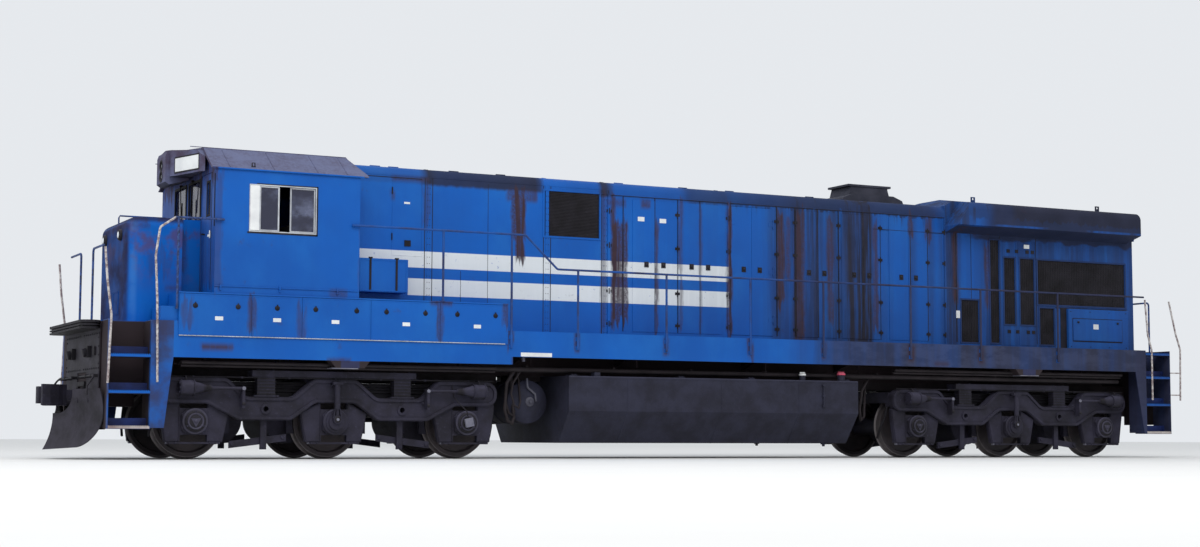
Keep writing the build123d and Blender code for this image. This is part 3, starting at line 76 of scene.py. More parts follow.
class Look:
    """A procedural material, built node by node in the object's own coordinates.

    Its colours are written as display values of 0 to 255.
    """

    def __init__(self, name):
        self.material = bpy.data.materials.new(name)
        self.material.use_nodes = True
        self.tree = self.material.node_tree
        self.tree.nodes.clear()
        self.shader = self.node("ShaderNodeBsdfPrincipled")
        self.tree.links.new(self.shader.outputs[0], self.node("ShaderNodeOutputMaterial").inputs[0])
        coordinates = self.node("ShaderNodeTexCoord")
        self.place = coordinates.outputs["Object"]
        self.x, self.y, self.z = self.split(self.place)
        self.facing = self.split(coordinates.outputs["Normal"])

    def node(self, kind):
        return self.tree.nodes.new(kind)

    def split(self, vector):
        node = self.node("ShaderNodeSeparateXYZ")
        self.feed(node.inputs[0], vector)
        return node.outputs

    def feed(self, socket, value):
        if hasattr(value, "node"):
            self.tree.links.new(value, socket)
        else:
            socket.default_value = value

    def set(self, **values):
        for name, value in values.items():
            self.feed(self.shader.inputs[name.replace("_", " ")], value)

    def maths(self, operation, first, second=0.0):
        node = self.node("ShaderNodeMath")
        node.operation = operation
        self.feed(node.inputs[0], first)
        self.feed(node.inputs[1], second)
        return node.outputs[0]

    def times(self, total, *values):
        for value in values:
            total = self.maths("MULTIPLY", total, value)
        return total

    def most(self, total, *values):
        for value in values:
            total = self.maths("MAXIMUM", total, value)
        return total

    def plus(self, first, second):
        return self.maths("ADD", first, second)

    def minus(self, first, second):
        return self.maths("SUBTRACT", first, second)

    def size(self, value):
        return self.maths("ABSOLUTE", value)

    def noise(self, scale=1.0, detail=4.0, rough=0.55, stretch=(1, 1, 1), shift=(0, 0, 0)):
        place = self.node("ShaderNodeMapping")
        self.feed(place.inputs["Vector"], self.place)
        place.inputs["Scale"].default_value = stretch
        place.inputs["Location"].default_value = shift
        node = self.node("ShaderNodeTexNoise")
        self.feed(node.inputs["Vector"], place.outputs[0])
        for name, value in (("Scale", scale), ("Detail", detail), ("Roughness", rough)):
            node.inputs[name].default_value = value
        return node.outputs[0]

    def step(self, value, low, high):
        """A smooth rise from 0 at low to 1 at high, or a fall where high is the lower one."""
        node = self.node("ShaderNodeMapRange")
        node.interpolation_type = "SMOOTHSTEP"
        self.feed(node.inputs[0], value)
        ends = (low, high, 0.0, 1.0) if low < high else (high, low, 1.0, 0.0)
        for index, end in enumerate(ends, start=1):
            node.inputs[index].default_value = end
        return node.outputs[0]

    def patches(self, low, high, *noise):
        """Soft patches where a noise passes from low to high."""
        return self.step(self.noise(*noise), low, high)

    def band(self, value, low, high, soft):
        rise = self.step(value, low - soft, low + soft)
        return self.times(rise, self.step(value, high + soft, high - soft))

    def shaken(self, value, noise, amount):
        """A coordinate moved by a noise, half the amount each way."""
        return self.plus(value, self.times(self.minus(noise, 0.5), amount))

    def between(self, amount, low, high):
        """A number from low, at an amount of 0, to high, at 1."""
        return self.plus(self.times(amount, high - low), low)

    def along(self, table):
        """A value read from a table of (X, amount), X between the reach of the table on both sides."""
        node = self.node("ShaderNodeValToRGB")
        self.feed(node.inputs[0], self.plus(self.maths("DIVIDE", self.x, 2 * TABLE_REACH), 0.5))
        elements = node.color_ramp.elements
        elements.remove(elements[-1])
        for index, (x, amount) in enumerate(table):
            at = (x + TABLE_REACH) / (2 * TABLE_REACH)
            element = elements[0] if index == 0 else elements.new(at)
            element.position = at
            element.color = (amount, amount, amount, 1)
        return node.outputs[0]

    def blend(self, amount, below, over):
        node = self.node("ShaderNodeMix")
        node.data_type = "RGBA"
        self.feed(node.inputs["Factor"], amount)
        for socket, colour in ((node.inputs[6], below), (node.inputs[7], over)):
            self.feed(socket, colour if hasattr(colour, "node") else (*map(linear, colour), 1))
        return node.outputs[2]

    def bump(self, height, strength, distance):
        node = self.node("ShaderNodeBump")
        node.inputs["Strength"].default_value = strength
        node.inputs["Distance"].default_value = distance
        self.feed(node.inputs["Height"], height)
        self.set(Normal=node.outputs[0])


BLUE = (4, 89, 178)
BLUE_FADED = (26, 106, 184)
BLUE_DEEP = (5, 80, 163)
WHITE = (214, 219, 222)
RUST = (42, 34, 48)
RUST_BRIGHT = (68, 50, 56)
UNDER = (44, 36, 40)
TABLE_REACH = 10.0
PAD_X = (-6.130, 6.340)
# The two white stripes as (bottom, top, front end), heights above the rail, and their rear end
STRIPES = ((2.85, 3.10, -5.81), (2.43, 2.685, -5.01))
STRIPE_END = 0.62

# How sooty the hood is, along X
SOOT_ALONG = (
    (-9.5, 0.08), (-2.0, 0.06), (1.3, 0.22), (1.58, 0.85), (1.80, 0.62), (1.96, 1.0), (2.14, 0.70),
    (2.34, 0.95), (2.46, 0.55), (2.65, 0.80), (2.90, 0.80), (3.02, 1.1), (3.44, 1.1), (3.50, 0.50),
    (3.88, 0.34), (4.00, 0.14), (4.22, 0.20), (4.32, 0.70), (4.44, 0.16), (4.62, 0.20), (4.72, 0.60),
    (4.84, 0.20), (5.02, 0.60), (5.16, 0.95), (5.30, 0.75), (5.42, 0.22), (5.75, 0.30), (5.95, 0.75),
    (6.10, 0.60), (7.5, 0.72), (9.3, 0.68),
)
# How dark the rounded edge of the hood roof is, along X
ROOF_ALONG = (
    (-6.0, 0.25), (-4.78, 0.30), (-4.75, 0.98), (-4.62, 0.98), (-4.60, 0.90), (-2.82, 0.98), (-2.78, 0.12),
    (-1.80, 0.12), (-1.77, 0.95), (-1.58, 0.95), (-1.54, 0.20), (-0.30, 0.30), (-0.12, 0.72), (0.60, 0.80),
    (0.64, 0.66), (1.20, 0.78), (2.0, 0.90), (4.7, 0.86), (5.0, 0.60), (5.7, 0.70), (6.3, 1.0), (9.4, 1.0),
)
# Rust stains as (x0, x1, top, bottom, strength), heights above the rail
HOOD_STAINS = (
    (-3.30, -3.06, 4.10, 3.40, 1.0), (-3.24, -3.08, 4.00, 3.00, 1.0), (-3.40, -2.86, 4.14, 3.96, 0.8),
    (-5.93, -5.86, 4.15, 3.30, 1.0), (-5.30, -4.70, 4.225, 4.165, 0.9),
    (-1.74, -1.64, 4.15, 2.00, 0.5), (-1.56, -1.26, 3.75, 2.10, 1.0), (-1.56, -1.48, 4.15, 2.00, 0.9),
    (-1.66, -1.30, 4.10, 3.98, 0.7), (-1.02, -0.86, 4.12, 3.98, 0.9), (-0.76, -0.70, 3.80, 2.00, 0.8),
    (-5.32, -5.24, 4.00, 3.86, 0.6), (-4.78, -4.66, 4.10, 3.55, 0.45), (-6.00, -5.94, 4.10, 3.40, 0.6),
    (-0.32, -0.25, 4.10, 2.00, 0.6), (0.58, 0.68, 4.16, 1.95, 0.95), (0.05, 0.11, 4.10, 2.00, 0.5),
    (1.56, 1.70, 4.05, 2.55, 1.0), (1.74, 1.82, 4.00, 2.90, 0.8), (1.90, 2.10, 4.10, 1.92, 0.9),
    (2.56, 2.68, 4.00, 2.30, 0.8), (3.50, 3.60, 3.90, 2.10, 0.8), (4.24, 4.34, 4.16, 3.80, 0.9),
    (4.62, 4.74, 4.16, 3.70, 0.8), (5.20, 5.30, 3.95, 2.70, 1.0), (5.90, 6.00, 3.85, 2.60, 0.8),
)
SILL_STAINS = (
    (-8.34, -7.86, 1.585, 1.50, 0.9), (-3.66, -3.54, 2.30, 1.60, 0.8), (-2.52, -2.42, 1.90, 1.60, 0.8),
    (-0.96, -0.86, 1.86, 1.58, 0.7), (0.58, 0.70, 1.90, 1.52, 0.7), (2.00, 2.10, 1.86, 1.58, 0.7),
    (3.74, 3.88, 1.86, 1.58, 0.8), (5.22, 5.36, 1.86, 1.58, 0.8), (-6.48, -6.10, 1.42, 1.36, 0.9),
    (-8.72, -8.50, 2.30, 1.95, 0.7), (-9.00, -8.80, 1.90, 1.60, 0.5), (4.30, 4.60, 1.60, 1.52, 0.6),
)
CAB_STAINS = (
    (-7.66, -7.54, 2.25, 1.75, 0.75), (-6.95, -6.80, 2.15, 1.70, 0.5), (-4.80, -4.70, 2.30, 1.75, 0.7),
    (-8.62, -8.45, 2.20, 1.85, 0.5), (-3.72, -3.60, 2.30, 1.95, 0.8), (-6.46, -6.20, 2.42, 2.30, 0.6),
    (-4.90, -4.55, 2.36, 2.24, 0.8), (-8.30, -8.12, 4.50, 3.86, 0.9), (-8.20, -8.05, 4.05, 2.40, 0.4),
    (-6.03, -5.98, 3.4, 2.4, 0.4),
)
NOSE_STAINS = (
    (-9.30, -8.95, 3.50, 3.22, 0.6), (-8.80, -8.40, 3.45, 3.34, 0.8), (-8.95, -8.60, 2.95, 2.60, 0.35),
    (-8.45, -8.34, 3.20, 2.60, 0.6), (-8.70, -8.45, 2.42, 2.36, 0.6),
)


def roof_soot_and_wing_shade(look, across, runs):
    """Soot on the roof's rounded edge and the drips below it, and painted shade over the radiator hood's
    wings, the wall under them and their undersides, with a painted highlight left along the wings' lower lip.
    """
    x, z = look.x, look.z
    rear = look.step(x, -0.6, 2.6)
    edge = look.shaken(z, runs, look.between(rear, 0.06, 0.34))
    top = look.times(look.step(edge, up(4.08), up(4.15)), look.along(ROOF_ALONG))
    drips = look.times(look.step(edge, up(3.80), up(4.3)), look.step(runs, 0.48, 0.60),
                       look.between(rear, 0.12, 0.9))
    shadow = look.shaken(z, look.noise(2.1, 4), 0.35)
    # Painted shade: the radiator hood's wings and the wall under them are darkened.
    wing_shade = look.times(look.step(x, 5.25, 5.9), look.step(shadow, up(3.74), up(3.86)), 0.94)
    # Painted highlight: a lighter line is left along the wings' lower lip.
    lit_lip = look.times(look.band(z, up(4.015), up(4.050), 0.008), look.patches(0.44, 0.60, 1.3, 4), 0.7)
    # Painted shade on the undersides of the wings.
    below = look.times(look.step(across, 0.892, 0.900), look.step(z, up(4.000), up(3.990)), 0.95,
                       look.step(x, 5.03, 5.06))
    return look.most(top, drips, look.times(wing_shade, look.minus(1.0, lit_lip)), below)


def rust_stains(look, stains, runs):
    """Broken rust: a few patches everywhere, and streaks at their places."""
    wander = look.shaken(look.x, look.noise(1, 5, 0.65, (9, 9, 2.2)), 0.16)
    rise = look.shaken(look.z, look.noise(1, 4, 0.6, (16, 16, 1.2)), 0.9)
    amount = look.times(look.patches(0.63, 0.71, 3.4, 8, 0.66), 0.30)
    for x0, x1, top, bottom, strength in stains:
        drop = look.z if top - bottom < 0.3 else rise
        upright = look.band(drop, up(bottom), up(top), 0.05)
        amount = look.most(amount, look.times(look.band(wander, x0, x1, 0.03), upright, strength))
    broken = look.most(look.step(runs, 0.44, 0.56), look.times(look.patches(0.42, 0.58, 26, 6, 0.7), 0.7))
    return look.times(amount, look.between(broken, 0.62, 1.0))


def paint(name, stripes=False, soot=1.0, rust=1.0, roof=False, stains=(), inner=None, dusty=None, mauve_and_highlight=0.0,
          pads=False, grey=0.0):
    """Weathered blue paint: faded, with soot that runs down, rust stains at their places, and a dark roof
    edge; with a roof, painted shade and a painted highlight at the radiator hood's wings, and on the nose a
    painted highlight down its rounded corner.
    """
    look = Look(name)
    x, z = look.x, look.z
    across = look.size(look.y)
    runs = look.noise(1, 5, 0.62, (11, 11, 0.45))
    coarse = look.noise(1, 3, 0.5, (3.6, 3.6, 0.22), (4, 2, 7))
    colour = look.blend(look.patches(0.35, 0.7, 0.55, 3), BLUE_DEEP, BLUE)
    faded = look.times(look.patches(0.42, 0.75, 1.3, 5, 0.6, (1, 1, 0.6)), 0.40)
    colour = look.blend(faded, colour, BLUE_FADED)
    if stripes:
        bands = [look.times(look.band(z, up(bottom), up(top), 0.004), look.band(x, front, STRIPE_END, 0.004))
                 for bottom, top, front in STRIPES]
        worn = look.patches(0.72, 0.64, 14, 6, 0.7)
        white = look.times(look.most(*bands), look.band(across, 0.87, 0.93, 0.01), worn, 0.97)
        colour = look.blend(white, colour, WHITE)
    if dusty:
        film = look.times(look.step(x, *dusty), look.between(look.step(coarse, 0.3, 0.7), 0.74, 0.99))
        blotch = look.patches(0.42, 0.60, 1, 5, 0.65, (2.2, 2.2, 5.0))
        colour = look.blend(film, colour, look.blend(blotch, (38, 42, 64), (52, 57, 82)))
    soot_and_shade = look.times(look.along(SOOT_ALONG), look.between(look.step(runs, 0.38, 0.54), 0.68, 1.0),
                       look.between(look.step(coarse, 0.36, 0.60), 0.85, 1.0), soot)
    # With a roof, the soot also carries the painted shade and highlight of the radiator wings.
    if roof:
        soot_and_shade = look.most(soot_and_shade, roof_soot_and_wing_shade(look, across, runs))
    soot_and_shade_colour = look.blend(look.noise(2.3, 4), (22, 22, 30), (48, 50, 68))
    colour = look.blend(look.times(soot_and_shade, 0.98), colour, soot_and_shade_colour)
    rusty = look.times(rust_stains(look, stains, runs), rust)
    colour = look.blend(rusty, colour, look.blend(look.noise(9, 5), RUST, RUST_BRIGHT))
    dirty = look.most(rusty, soot_and_shade)
    if mauve_and_highlight:
        cloud = look.times(look.patches(0.46, 0.62, 2.6, 5, 0.6), look.step(z, up(2.2), up(3.1)), mauve_and_highlight)
        colour = look.blend(cloud, colour, (72, 62, 100))
        facing_x, _, facing_z = look.facing
        # Painted highlight down the nose's rounded corner.
        corner_highlight = look.times(look.band(facing_x, -0.82, -0.50, 0.12), look.patches(0.36, 0.6, 2.4, 5), 0.28)
        colour = look.blend(corner_highlight, colour, (74, 128, 190))
        front = look.times(look.step(facing_x, -0.80, -0.96),
                           look.between(look.patches(0.36, 0.62, 1.7, 5, 0.6), 0.55, 0.92))
        film = look.most(front, look.times(look.step(facing_z, 0.30, 0.75), 0.75))
        colour = look.blend(film, colour, look.blend(coarse, (22, 30, 56), (46, 36, 54)))
        dirty = look.most(dirty, film)
    if grey:
        patchy = look.times(look.between(look.patches(0.34, 0.66, 2.0, 6, 0.62), 0.25, 1.0), grey)
        colour = look.blend(patchy, colour, (46, 48, 76))
    if pads:
        low = look.most(look.times(look.step(x, -3.5, -3.6), look.step(z, up(1.390), up(1.386))),
                        look.times(look.step(x, -3.6, -3.5), look.step(z, up(1.507), up(1.503))))
        colour = look.blend(low, colour, look.blend(look.noise(9, 5), (34, 36, 62), (52, 56, 90)))
        beside = [look.step(look.size(look.minus(x, at)), 0.13, 0.15) for at in PAD_X]
        colour = look.blend(look.times(low, *beside), colour, UNDER)
    if inner:
        shaded = look.times(look.step(across, *inner), look.step(z, up(1.894), up(1.886)))
        colour = look.blend(shaded, colour, UNDER)
        dirty = look.most(dirty, shaded)
    look.set(Base_Color=colour, Roughness=look.between(dirty, 0.40, 0.85),
             Specular_IOR_Level=0.06 if mauve_and_highlight else 0.20)
    ripple = look.plus(look.times(look.noise(1.1, 2), 0.7), look.times(look.noise(30, 4), 0.03))
    look.bump(look.plus(ripple, look.times(dirty, 0.05)), 0.35, 0.02)
    return look.material


def grimy_and_shaded(name, dark, pale, dust, gloss=0.65, metallic=0.0, dust_low=0.35):
    """Cast or welded steel under road dirt, paler where dust settles, with painted shade darkening the faces
    that point down.
    """
    look = Look(name)
    patches = look.noise(3.0, 6, 0.6)
    fine = look.noise(22, 6, 0.65)
    facing_up = look.split(look.node("ShaderNodeNewGeometry").outputs["Normal"])[2]
    settled = look.times(look.step(facing_up, 0.1, 0.9), look.between(look.step(fine, 0.3, 0.7), 0.35, 0.9))
    speckle = look.times(look.step(fine, 0.56, 0.70), dust_low)
    colour = look.blend(look.step(patches, 0.3, 0.7), dark, pale)
    colour = look.blend(look.most(settled, speckle), colour, dust)
    # Painted shade: faces that point down are darkened.
    colour = look.blend(look.times(look.step(facing_up, -0.60, -0.90), 0.6), colour, (18, 16, 20))
    look.set(Base_Color=colour, Roughness=look.between(fine, gloss - 0.1, gloss + 0.2), Metallic=metallic,
             Specular_IOR_Level=0.25)
    look.bump(look.plus(look.times(fine, 0.4), patches), 0.45, 0.008)
    return look.material


blue = paint("blue_paint", stripes=True, roof=True, stains=HOOD_STAINS)
blue_plain = paint("blue_paint_cab", soot=0.7, stains=CAB_STAINS)
blue_nose = paint("blue_paint_nose", soot=0.7, stains=NOSE_STAINS, mauve_and_highlight=0.8)
blue_low = paint("blue_paint_sill", soot=0.5, stains=SILL_STAINS, inner=(1.503, 1.497), dusty=(1.8, 2.5),
                 pads=True)
blue_step = paint("blue_paint_steps", soot=0.6, stains=SILL_STAINS, inner=(1.50, 1.42), grey=0.88)
blue_rear_step = paint("blue_paint_rear_steps", soot=0.9, stains=SILL_STAINS, dusty=(8.0, 8.9), grey=0.5)
blue_rail = paint("blue_paint_rails", soot=1.0, rust=2.0, grey=0.95, dusty=(2.4, 4.0))
blue_box = paint("blue_paint_fittings", soot=0.5, stains=SILL_STAINS)
toe_blue = grimy_and_shaded("toe_board_paint", (12, 22, 62), (22, 40, 96), (34, 44, 84), 0.55)
ring_grey = grimy_and_shaded("journal_ring", (42, 40, 52), (62, 60, 76), (84, 82, 102), 0.5)
seam_dark = grimy_and_shaded("seam_shadow", (16, 16, 24), (34, 32, 44), (58, 48, 54), dust_low=0.5)
cast_iron = grimy_and_shaded("truck_grime", (29, 27, 37), (46, 44, 60), (72, 70, 88))
tank_black = grimy_and_shaded("tank_grime", (30, 30, 43), (42, 43, 60), (66, 67, 86), dust_low=0.2)
black = grimy_and_shaded("black_grime", (20, 18, 23), (36, 34, 41), (58, 55, 64))
under_dark = grimy_and_shaded("under_grime", (30, 25, 28), (46, 40, 44), (58, 52, 56), dust_low=0.1)
plow_grey = grimy_and_shaded("plow_grime", (26, 24, 31), (50, 47, 58), (66, 62, 74))
stack_grey = grimy_and_shaded("stack_grime", (40, 42, 54), (58, 59, 72), (66, 68, 80))
roof_grey = grimy_and_shaded("roof_grey", (66, 56, 76), (92, 97, 128), (100, 106, 136), 0.75)
handrail_white = grimy_and_shaded("worn_white", (128, 112, 112), (186, 180, 176), (196, 190, 184), 0.6)
rubber = grimy_and_shaded("rubber", (16, 16, 18), (26, 26, 28), (48, 47, 48), 0.7)
bright_grey = grimy_and_shaded("bright_grey", (92, 92, 106), (128, 128, 142), (140, 140, 150), 0.6)
pipe_grey = grimy_and_shaded("pipe_grey", (60, 60, 72), (88, 88, 100), (100, 100, 110), 0.6)
plate_white = grimy_and_shaded("blank_plate", (206, 208, 210), (226, 228, 228), (214, 212, 208), 0.5)
aluminium = grimy_and_shaded("worn_aluminium", (150, 152, 158), (196, 200, 206), (206, 208, 210), 0.35, 0.3)
pink = grimy_and_shaded("pink_cap", (186, 60, 88), (216, 96, 122), (214, 140, 150), 0.5)

# Grab irons: chipped white at the steps, dirty blue elsewhere
grab_look = Look("grab_iron_paint")
at_steps = grab_look.times(grab_look.step(grab_look.size(grab_look.y), 1.48, 1.50),
                           grab_look.step(grab_look.size(grab_look.x), 8.71, 8.74))
chips = grab_look.patches(0.40, 0.60, 16, 6, 0.7)
chipped_white = grab_look.blend(chips, (120, 104, 106), (190, 185, 182))
steel_blue = grab_look.blend(chips, (20, 34, 70), (30, 66, 130))
grab_look.set(Base_Color=grab_look.blend(at_steps, steel_blue, chipped_white),
              Roughness=grab_look.between(chips, 0.7, 0.5))
grab_look.bump(chips, 0.3, 0.003)

glass_look = Look("dark_glass")
film = glass_look.patches(0.48, 0.75, 2.2, 5, 0.6, (1, 1, 1.6))
glass_look.set(Base_Color=glass_look.blend(film, (38, 40, 62), (92, 98, 124)),
               Roughness=glass_look.between(film, 0.05, 0.3), Alpha=0.86, Specular_IOR_Level=0.6)
glass = glass_look.material

lamp_look = Look("lamp_glass")
lamp_look.set(Base_Color=lamp_look.blend(lamp_look.noise(40, 3), (200, 206, 214), (236, 240, 244)),
              Roughness=0.12)
lamp_glass = lamp_look.material

TRUCK_X = {"front": -6.235, "rear": 6.235}
AXLE_STEP = 2.070
AXLE_Z = 0.508


def wheel_look(axle_x):
    """Wheel grime, with a polished tread and a paler edge of the rim."""
    look = Look("wheel_grime")
    offset_x = look.minus(look.x, axle_x)
    offset_z = look.minus(look.z, up(AXLE_Z))
    radius = look.maths("SQRT", look.plus(look.times(offset_x, offset_x), look.times(offset_z, offset_z)))
    fine = look.noise(20, 6, 0.65)
    rim = look.times(look.step(radius, 0.494, 0.503), look.between(fine, 0.5, 0.9))
    colour = look.blend(look.patches(0.3, 0.7, 3, 5), (34, 29, 34), (56, 48, 52))
    look.set(Base_Color=look.blend(rim, colour, (118, 112, 114)), Roughness=look.between(rim, 0.7, 0.38),
             Metallic=look.times(rim, 0.7))
    look.bump(fine, 0.4, 0.006)
    return look.material


LOOKS = {
    "underframe": blue_low, "front_steps": blue_step, "rear_steps": blue_rear_step, "anticlimber": black,
    "plow": plow_grey, "side_box": blue_plain, "cab_roof": roof_grey, "cab_fittings": rubber,
    "cab_": blue_plain, "headlight_housing": roof_grey, "nose": blue_nose, "equipment_hood": blue,
    "engine_hood": blue, "radiator_hood": blue, "engine_door": blue, "engine": black, "screens": black,
    "exhaust_stack": stack_grey, "batteries": rubber, "fuel_tank": tank_black, "air_reservoirs": tank_black,
    "handrail": blue_rail, "grab_irons": grab_look.material,
}
AXLES = [truck_x + step * AXLE_STEP for truck_x in TRUCK_X.values() for step in (-1, 0, 1)]
for node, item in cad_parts.items():
    if node == "cab_windows":
        continue
    if node.startswith("wheelset"):
        material = wheel_look(AXLES[int(node[-1]) - 1])
    else:
        material = next((LOOKS[start] for start in LOOKS if node.startswith(start)), cast_iron)
    item.data.materials.clear()
    item.data.materials.append(material)

BOTH, LEFT, RIGHT = (-1, 1), (-1,), (1,)
# For a form on the middle line, which is made once
MIDDLE = RIGHT
OUT, UPWARD = (0, 1, 0), (0, 0, 1)


def about(middle, half):
    return (middle - half, middle + half)


class Piece:
    """A mesh put together from simple forms, then made into one object that rides on a body.

    Forms are given with y outward and z above the rail top, and each is made on the sides in self.sides.
    """

    def __init__(self, sides=BOTH):
        self.sides = sides
        self.points = []
        self.faces = []
        self.smooth = []

    def add(self, points, faces, smooth=False):
        for side in self.sides:
            start = len(self.points)
            self.points += [(x, side * y, up(z)) for x, y, z in points]
            self.faces += [tuple(start + i for i in face[::side]) for face in faces]
            self.smooth += [smooth] * len(faces)

    def box(self, x, y, z):
        (x0, x1), (y0, y1), (z0, z1) = sorted(x), sorted(y), sorted(z)
        points = [(a, b, c) for a in (x0, x1) for b in (y0, y1) for c in (z0, z1)]
        self.add(points, [(0, 1, 3, 2), (4, 6, 7, 5), (0, 4, 5, 1), (2, 3, 7, 6), (0, 2, 6, 4), (1, 5, 7, 3)])

    def prism(self, outline, offset):
        """A flat outline of 3-D points, extruded by an offset vector."""
        near = [Vector(p) for p in outline]
        count = len(near)
        spokes = [p - near[0] for p in near[1:]]
        normal = sum((a.cross(b) for a, b in zip(spokes, spokes[1:])), Vector())
        order = list(range(count))
        if normal.dot(Vector(offset)) > 0:
            order.reverse()
        faces = [tuple(order), tuple(count + i for i in reversed(order))]
        for here, there in zip(order, order[1:] + order[:1]):
            faces.append((there, here, count + here, count + there))
        self.add([*near, *(p + Vector(offset) for p in near)], faces)

    def tube(self, rings, sides, closed=False, capped=(True, True)):
        """Rings of points joined to each other, with a flat cap on each end that is capped."""
        count = len(rings)
        faces = []
        for ring in range(count if closed else count - 1):
            a, b = ring * sides, (ring + 1) % count * sides
            for k in range(sides):
                n = (k + 1) % sides
                faces.append((a + k, a + n, b + n, b + k))
        self.add([p for ring in rings for p in ring], faces, True)
        if capped[0]:
            self.add(rings[0], [tuple(reversed(range(sides)))])
        if capped[1]:
            self.add(rings[-1], [tuple(range(sides))])

    def turned(self, origin, axis, profile, sides=20, open_start=False):
        """A turned form: the profile is a list of (distance along the axis, radius)."""
        axis = Vector(axis).normalized()
        across = axis.orthogonal().normalized()
        self.tube([ring_points(Vector(origin) + axis * along, axis, across, radius, sides)
                   for along, radius in profile], sides, capped=(not open_start, True))

    def knob(self, at, axis, radius, height, sides):
        self.turned(at, axis, [(0, radius), (height, radius - 0.002), (height, 0)], sides)

    def disc(self, at, axis, radius, height, sides=6):
        self.turned(at, axis, [(0, radius), (height, radius)], sides)

    def bolt(self, at, axis, radius=0.014, height=0.012):
        self.disc(at, axis, radius, height)

    def bar(self, start, end, radius, sides=12):
        run = Vector(end) - Vector(start)
        self.disc(start, run, radius, run.length, sides)

    def pipe(self, points, radius, sides=10):
        """A round tube along a list of points."""
        points = [Vector(p) for p in points]
        last = len(points) - 1
        across = (points[1] - points[0]).orthogonal()
        rings = []
        for i, point in enumerate(points):
            tangent = (points[min(i + 1, last)] - points[max(i - 1, 0)]).normalized()
            across = (across - tangent * across.dot(tangent)).normalized()
            rings.append(ring_points(point, tangent, across, radius, sides))
        self.tube(rings, sides)

    def ring(self, x, y, z, width, depth):
        """A flat rectangular frame. One of the three ranges has no length: that is its plane."""
        spans = [x, y, z]
        flat = [i for i in range(3) if spans[i][0] == spans[i][1]][0]
        first, second = [i for i in range(3) if i != flat]
        for span, other in ((first, second), (second, first)):
            for end in (0, 1):
                piece = [None, None, None]
                edge = spans[span][end]
                trim = width if span == second else 0
                piece[flat] = (spans[flat][0], spans[flat][0] + depth)
                piece[span] = (edge, edge + (width if end == 0 else -width))
                piece[other] = (spans[other][0] + trim, spans[other][1] - trim)
                self.box(*piece)

    def make(self, name, look, body="body", bevel=0.0):
        mesh = bpy.data.meshes.new(name)
        mesh.from_pydata(self.points, [], self.faces)
        mesh.polygons.foreach_set("use_smooth", self.smooth)
        mesh.materials.append(look)
        item = bpy.data.objects.new(name, mesh)
        bpy.context.collection.objects.link(item)
        if bevel:
            soften(item, bevel)
        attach(item, body)
        return item


def pieces(count):
    return [Piece() for _ in range(count)]


def ring_points(centre, axis, across, radius, sides):
    other = axis.cross(across)
    angles = [2 * math.pi * k / sides for k in range(sides)]
    return [centre + (across * math.cos(angle) + other * math.sin(angle)) * radius for angle in angles]


def soften(item, width):
    """Rounds the sharp edges a little, so that they catch the light."""
    modifier = item.modifiers.new("soften", "BEVEL")
    modifier.width = width
    modifier.segments = 2
    modifier.limit_method = "ANGLE"
    modifier.angle_limit = math.radians(40)
    modifier.harden_normals = False


def arc(centre, radius, first, last, plane, steps):
    """Points on an arc in the xz or yz plane."""
    points = []
    for i in range(steps + 1):
        angle = math.radians(first + (last - first) * i / steps)
        a, b = radius * math.cos(angle), radius * math.sin(angle)
        offset = (a, 0, b) if plane == "xz" else (0, a, b)
        points.append(tuple(c + o for c, o in zip(centre, offset)))
    return points


def circle(centre, radius, count, first, plane="xz"):
    """Points spaced evenly round a circle."""
    return arc(centre, radius, first, first + 360 * (count - 1) / count, plane, count - 1)


HOOD_Y = 0.888
CAB_Y = 1.507
SILL_Y = 1.524
DOOR_Y = 1.5383
CAB_FRONT = -8.152

# Side boxes: latches, blank labels, long hinges and the tread edge above the doors.
# A door is (front end, rear end, latches, label). The right side has only those before BOX_END["right"].
BOX_DOORS = (
    (-8.650, -7.610, (-8.42, -7.81), -8.08), (-7.610, -6.870, (-7.24,), -7.24),
    (-6.870, -5.830, (-6.67, -6.05), -6.37), (-5.830, -4.745, (-5.59, -4.98), -5.28),
    (-4.745, -3.640, (-4.47, -3.85), -4.145),
)
BOX_END = {"left": -3.640, "right": -5.300}
for number, (x0, x1, latches, label_x) in enumerate(BOX_DOORS, start=1):
    for side, sides, body in (("left", LEFT, f"side_box_door_{number}_body"), ("right", RIGHT, "body")):
        if x1 > BOX_END[side]:
            continue
        fittings, edging, label = Piece(sides), Piece(sides), Piece(sides)
        for x in latches:
            fittings.turned((x, DOOR_Y, 2.115), OUT,
                            [(0, 0.036), (0.006, 0.036), (0.006, 0.022), (0.014, 0.020), (0.014, 0.0)])
            fittings.box(about(x, 0.004), (DOOR_Y, DOOR_Y + 0.022), (2.120, 2.165))
        edging.ring((x0 + 0.012, x1 - 0.012), (DOOR_Y, DOOR_Y), (1.706, 2.268), 0.010, 0.002)
        label.box(about(label_x, 0.058), (DOOR_Y, DOOR_Y + 0.002), (1.918, 1.972))
        fittings.make(f"box_latches_{number}_{side}", black, body)
        edging.make(f"box_door_edging_{number}_{side}", blue_plain, body)
        label.make(f"blank_label_{number}_{side}", plate_white, body)
hinges, edges = pieces(2)
for sides, x_end in ((LEFT, BOX_END["left"]), (RIGHT, BOX_END["right"])):
    hinges.sides = edges.sides = sides
    edges.box((-8.66, x_end), (1.500, 1.545), (2.284, 2.303))
    x = -8.645
    while x < x_end - 0.06:
        hinges.bar((x, DOOR_Y + 0.001, 1.694), (x + 0.058, DOOR_Y + 0.001, 1.694), 0.007, 8)
        x += 0.062
hinges.make("box_door_hinges", aluminium)
edges.make("box_tread_edge", blue_plain, bevel=0.004)

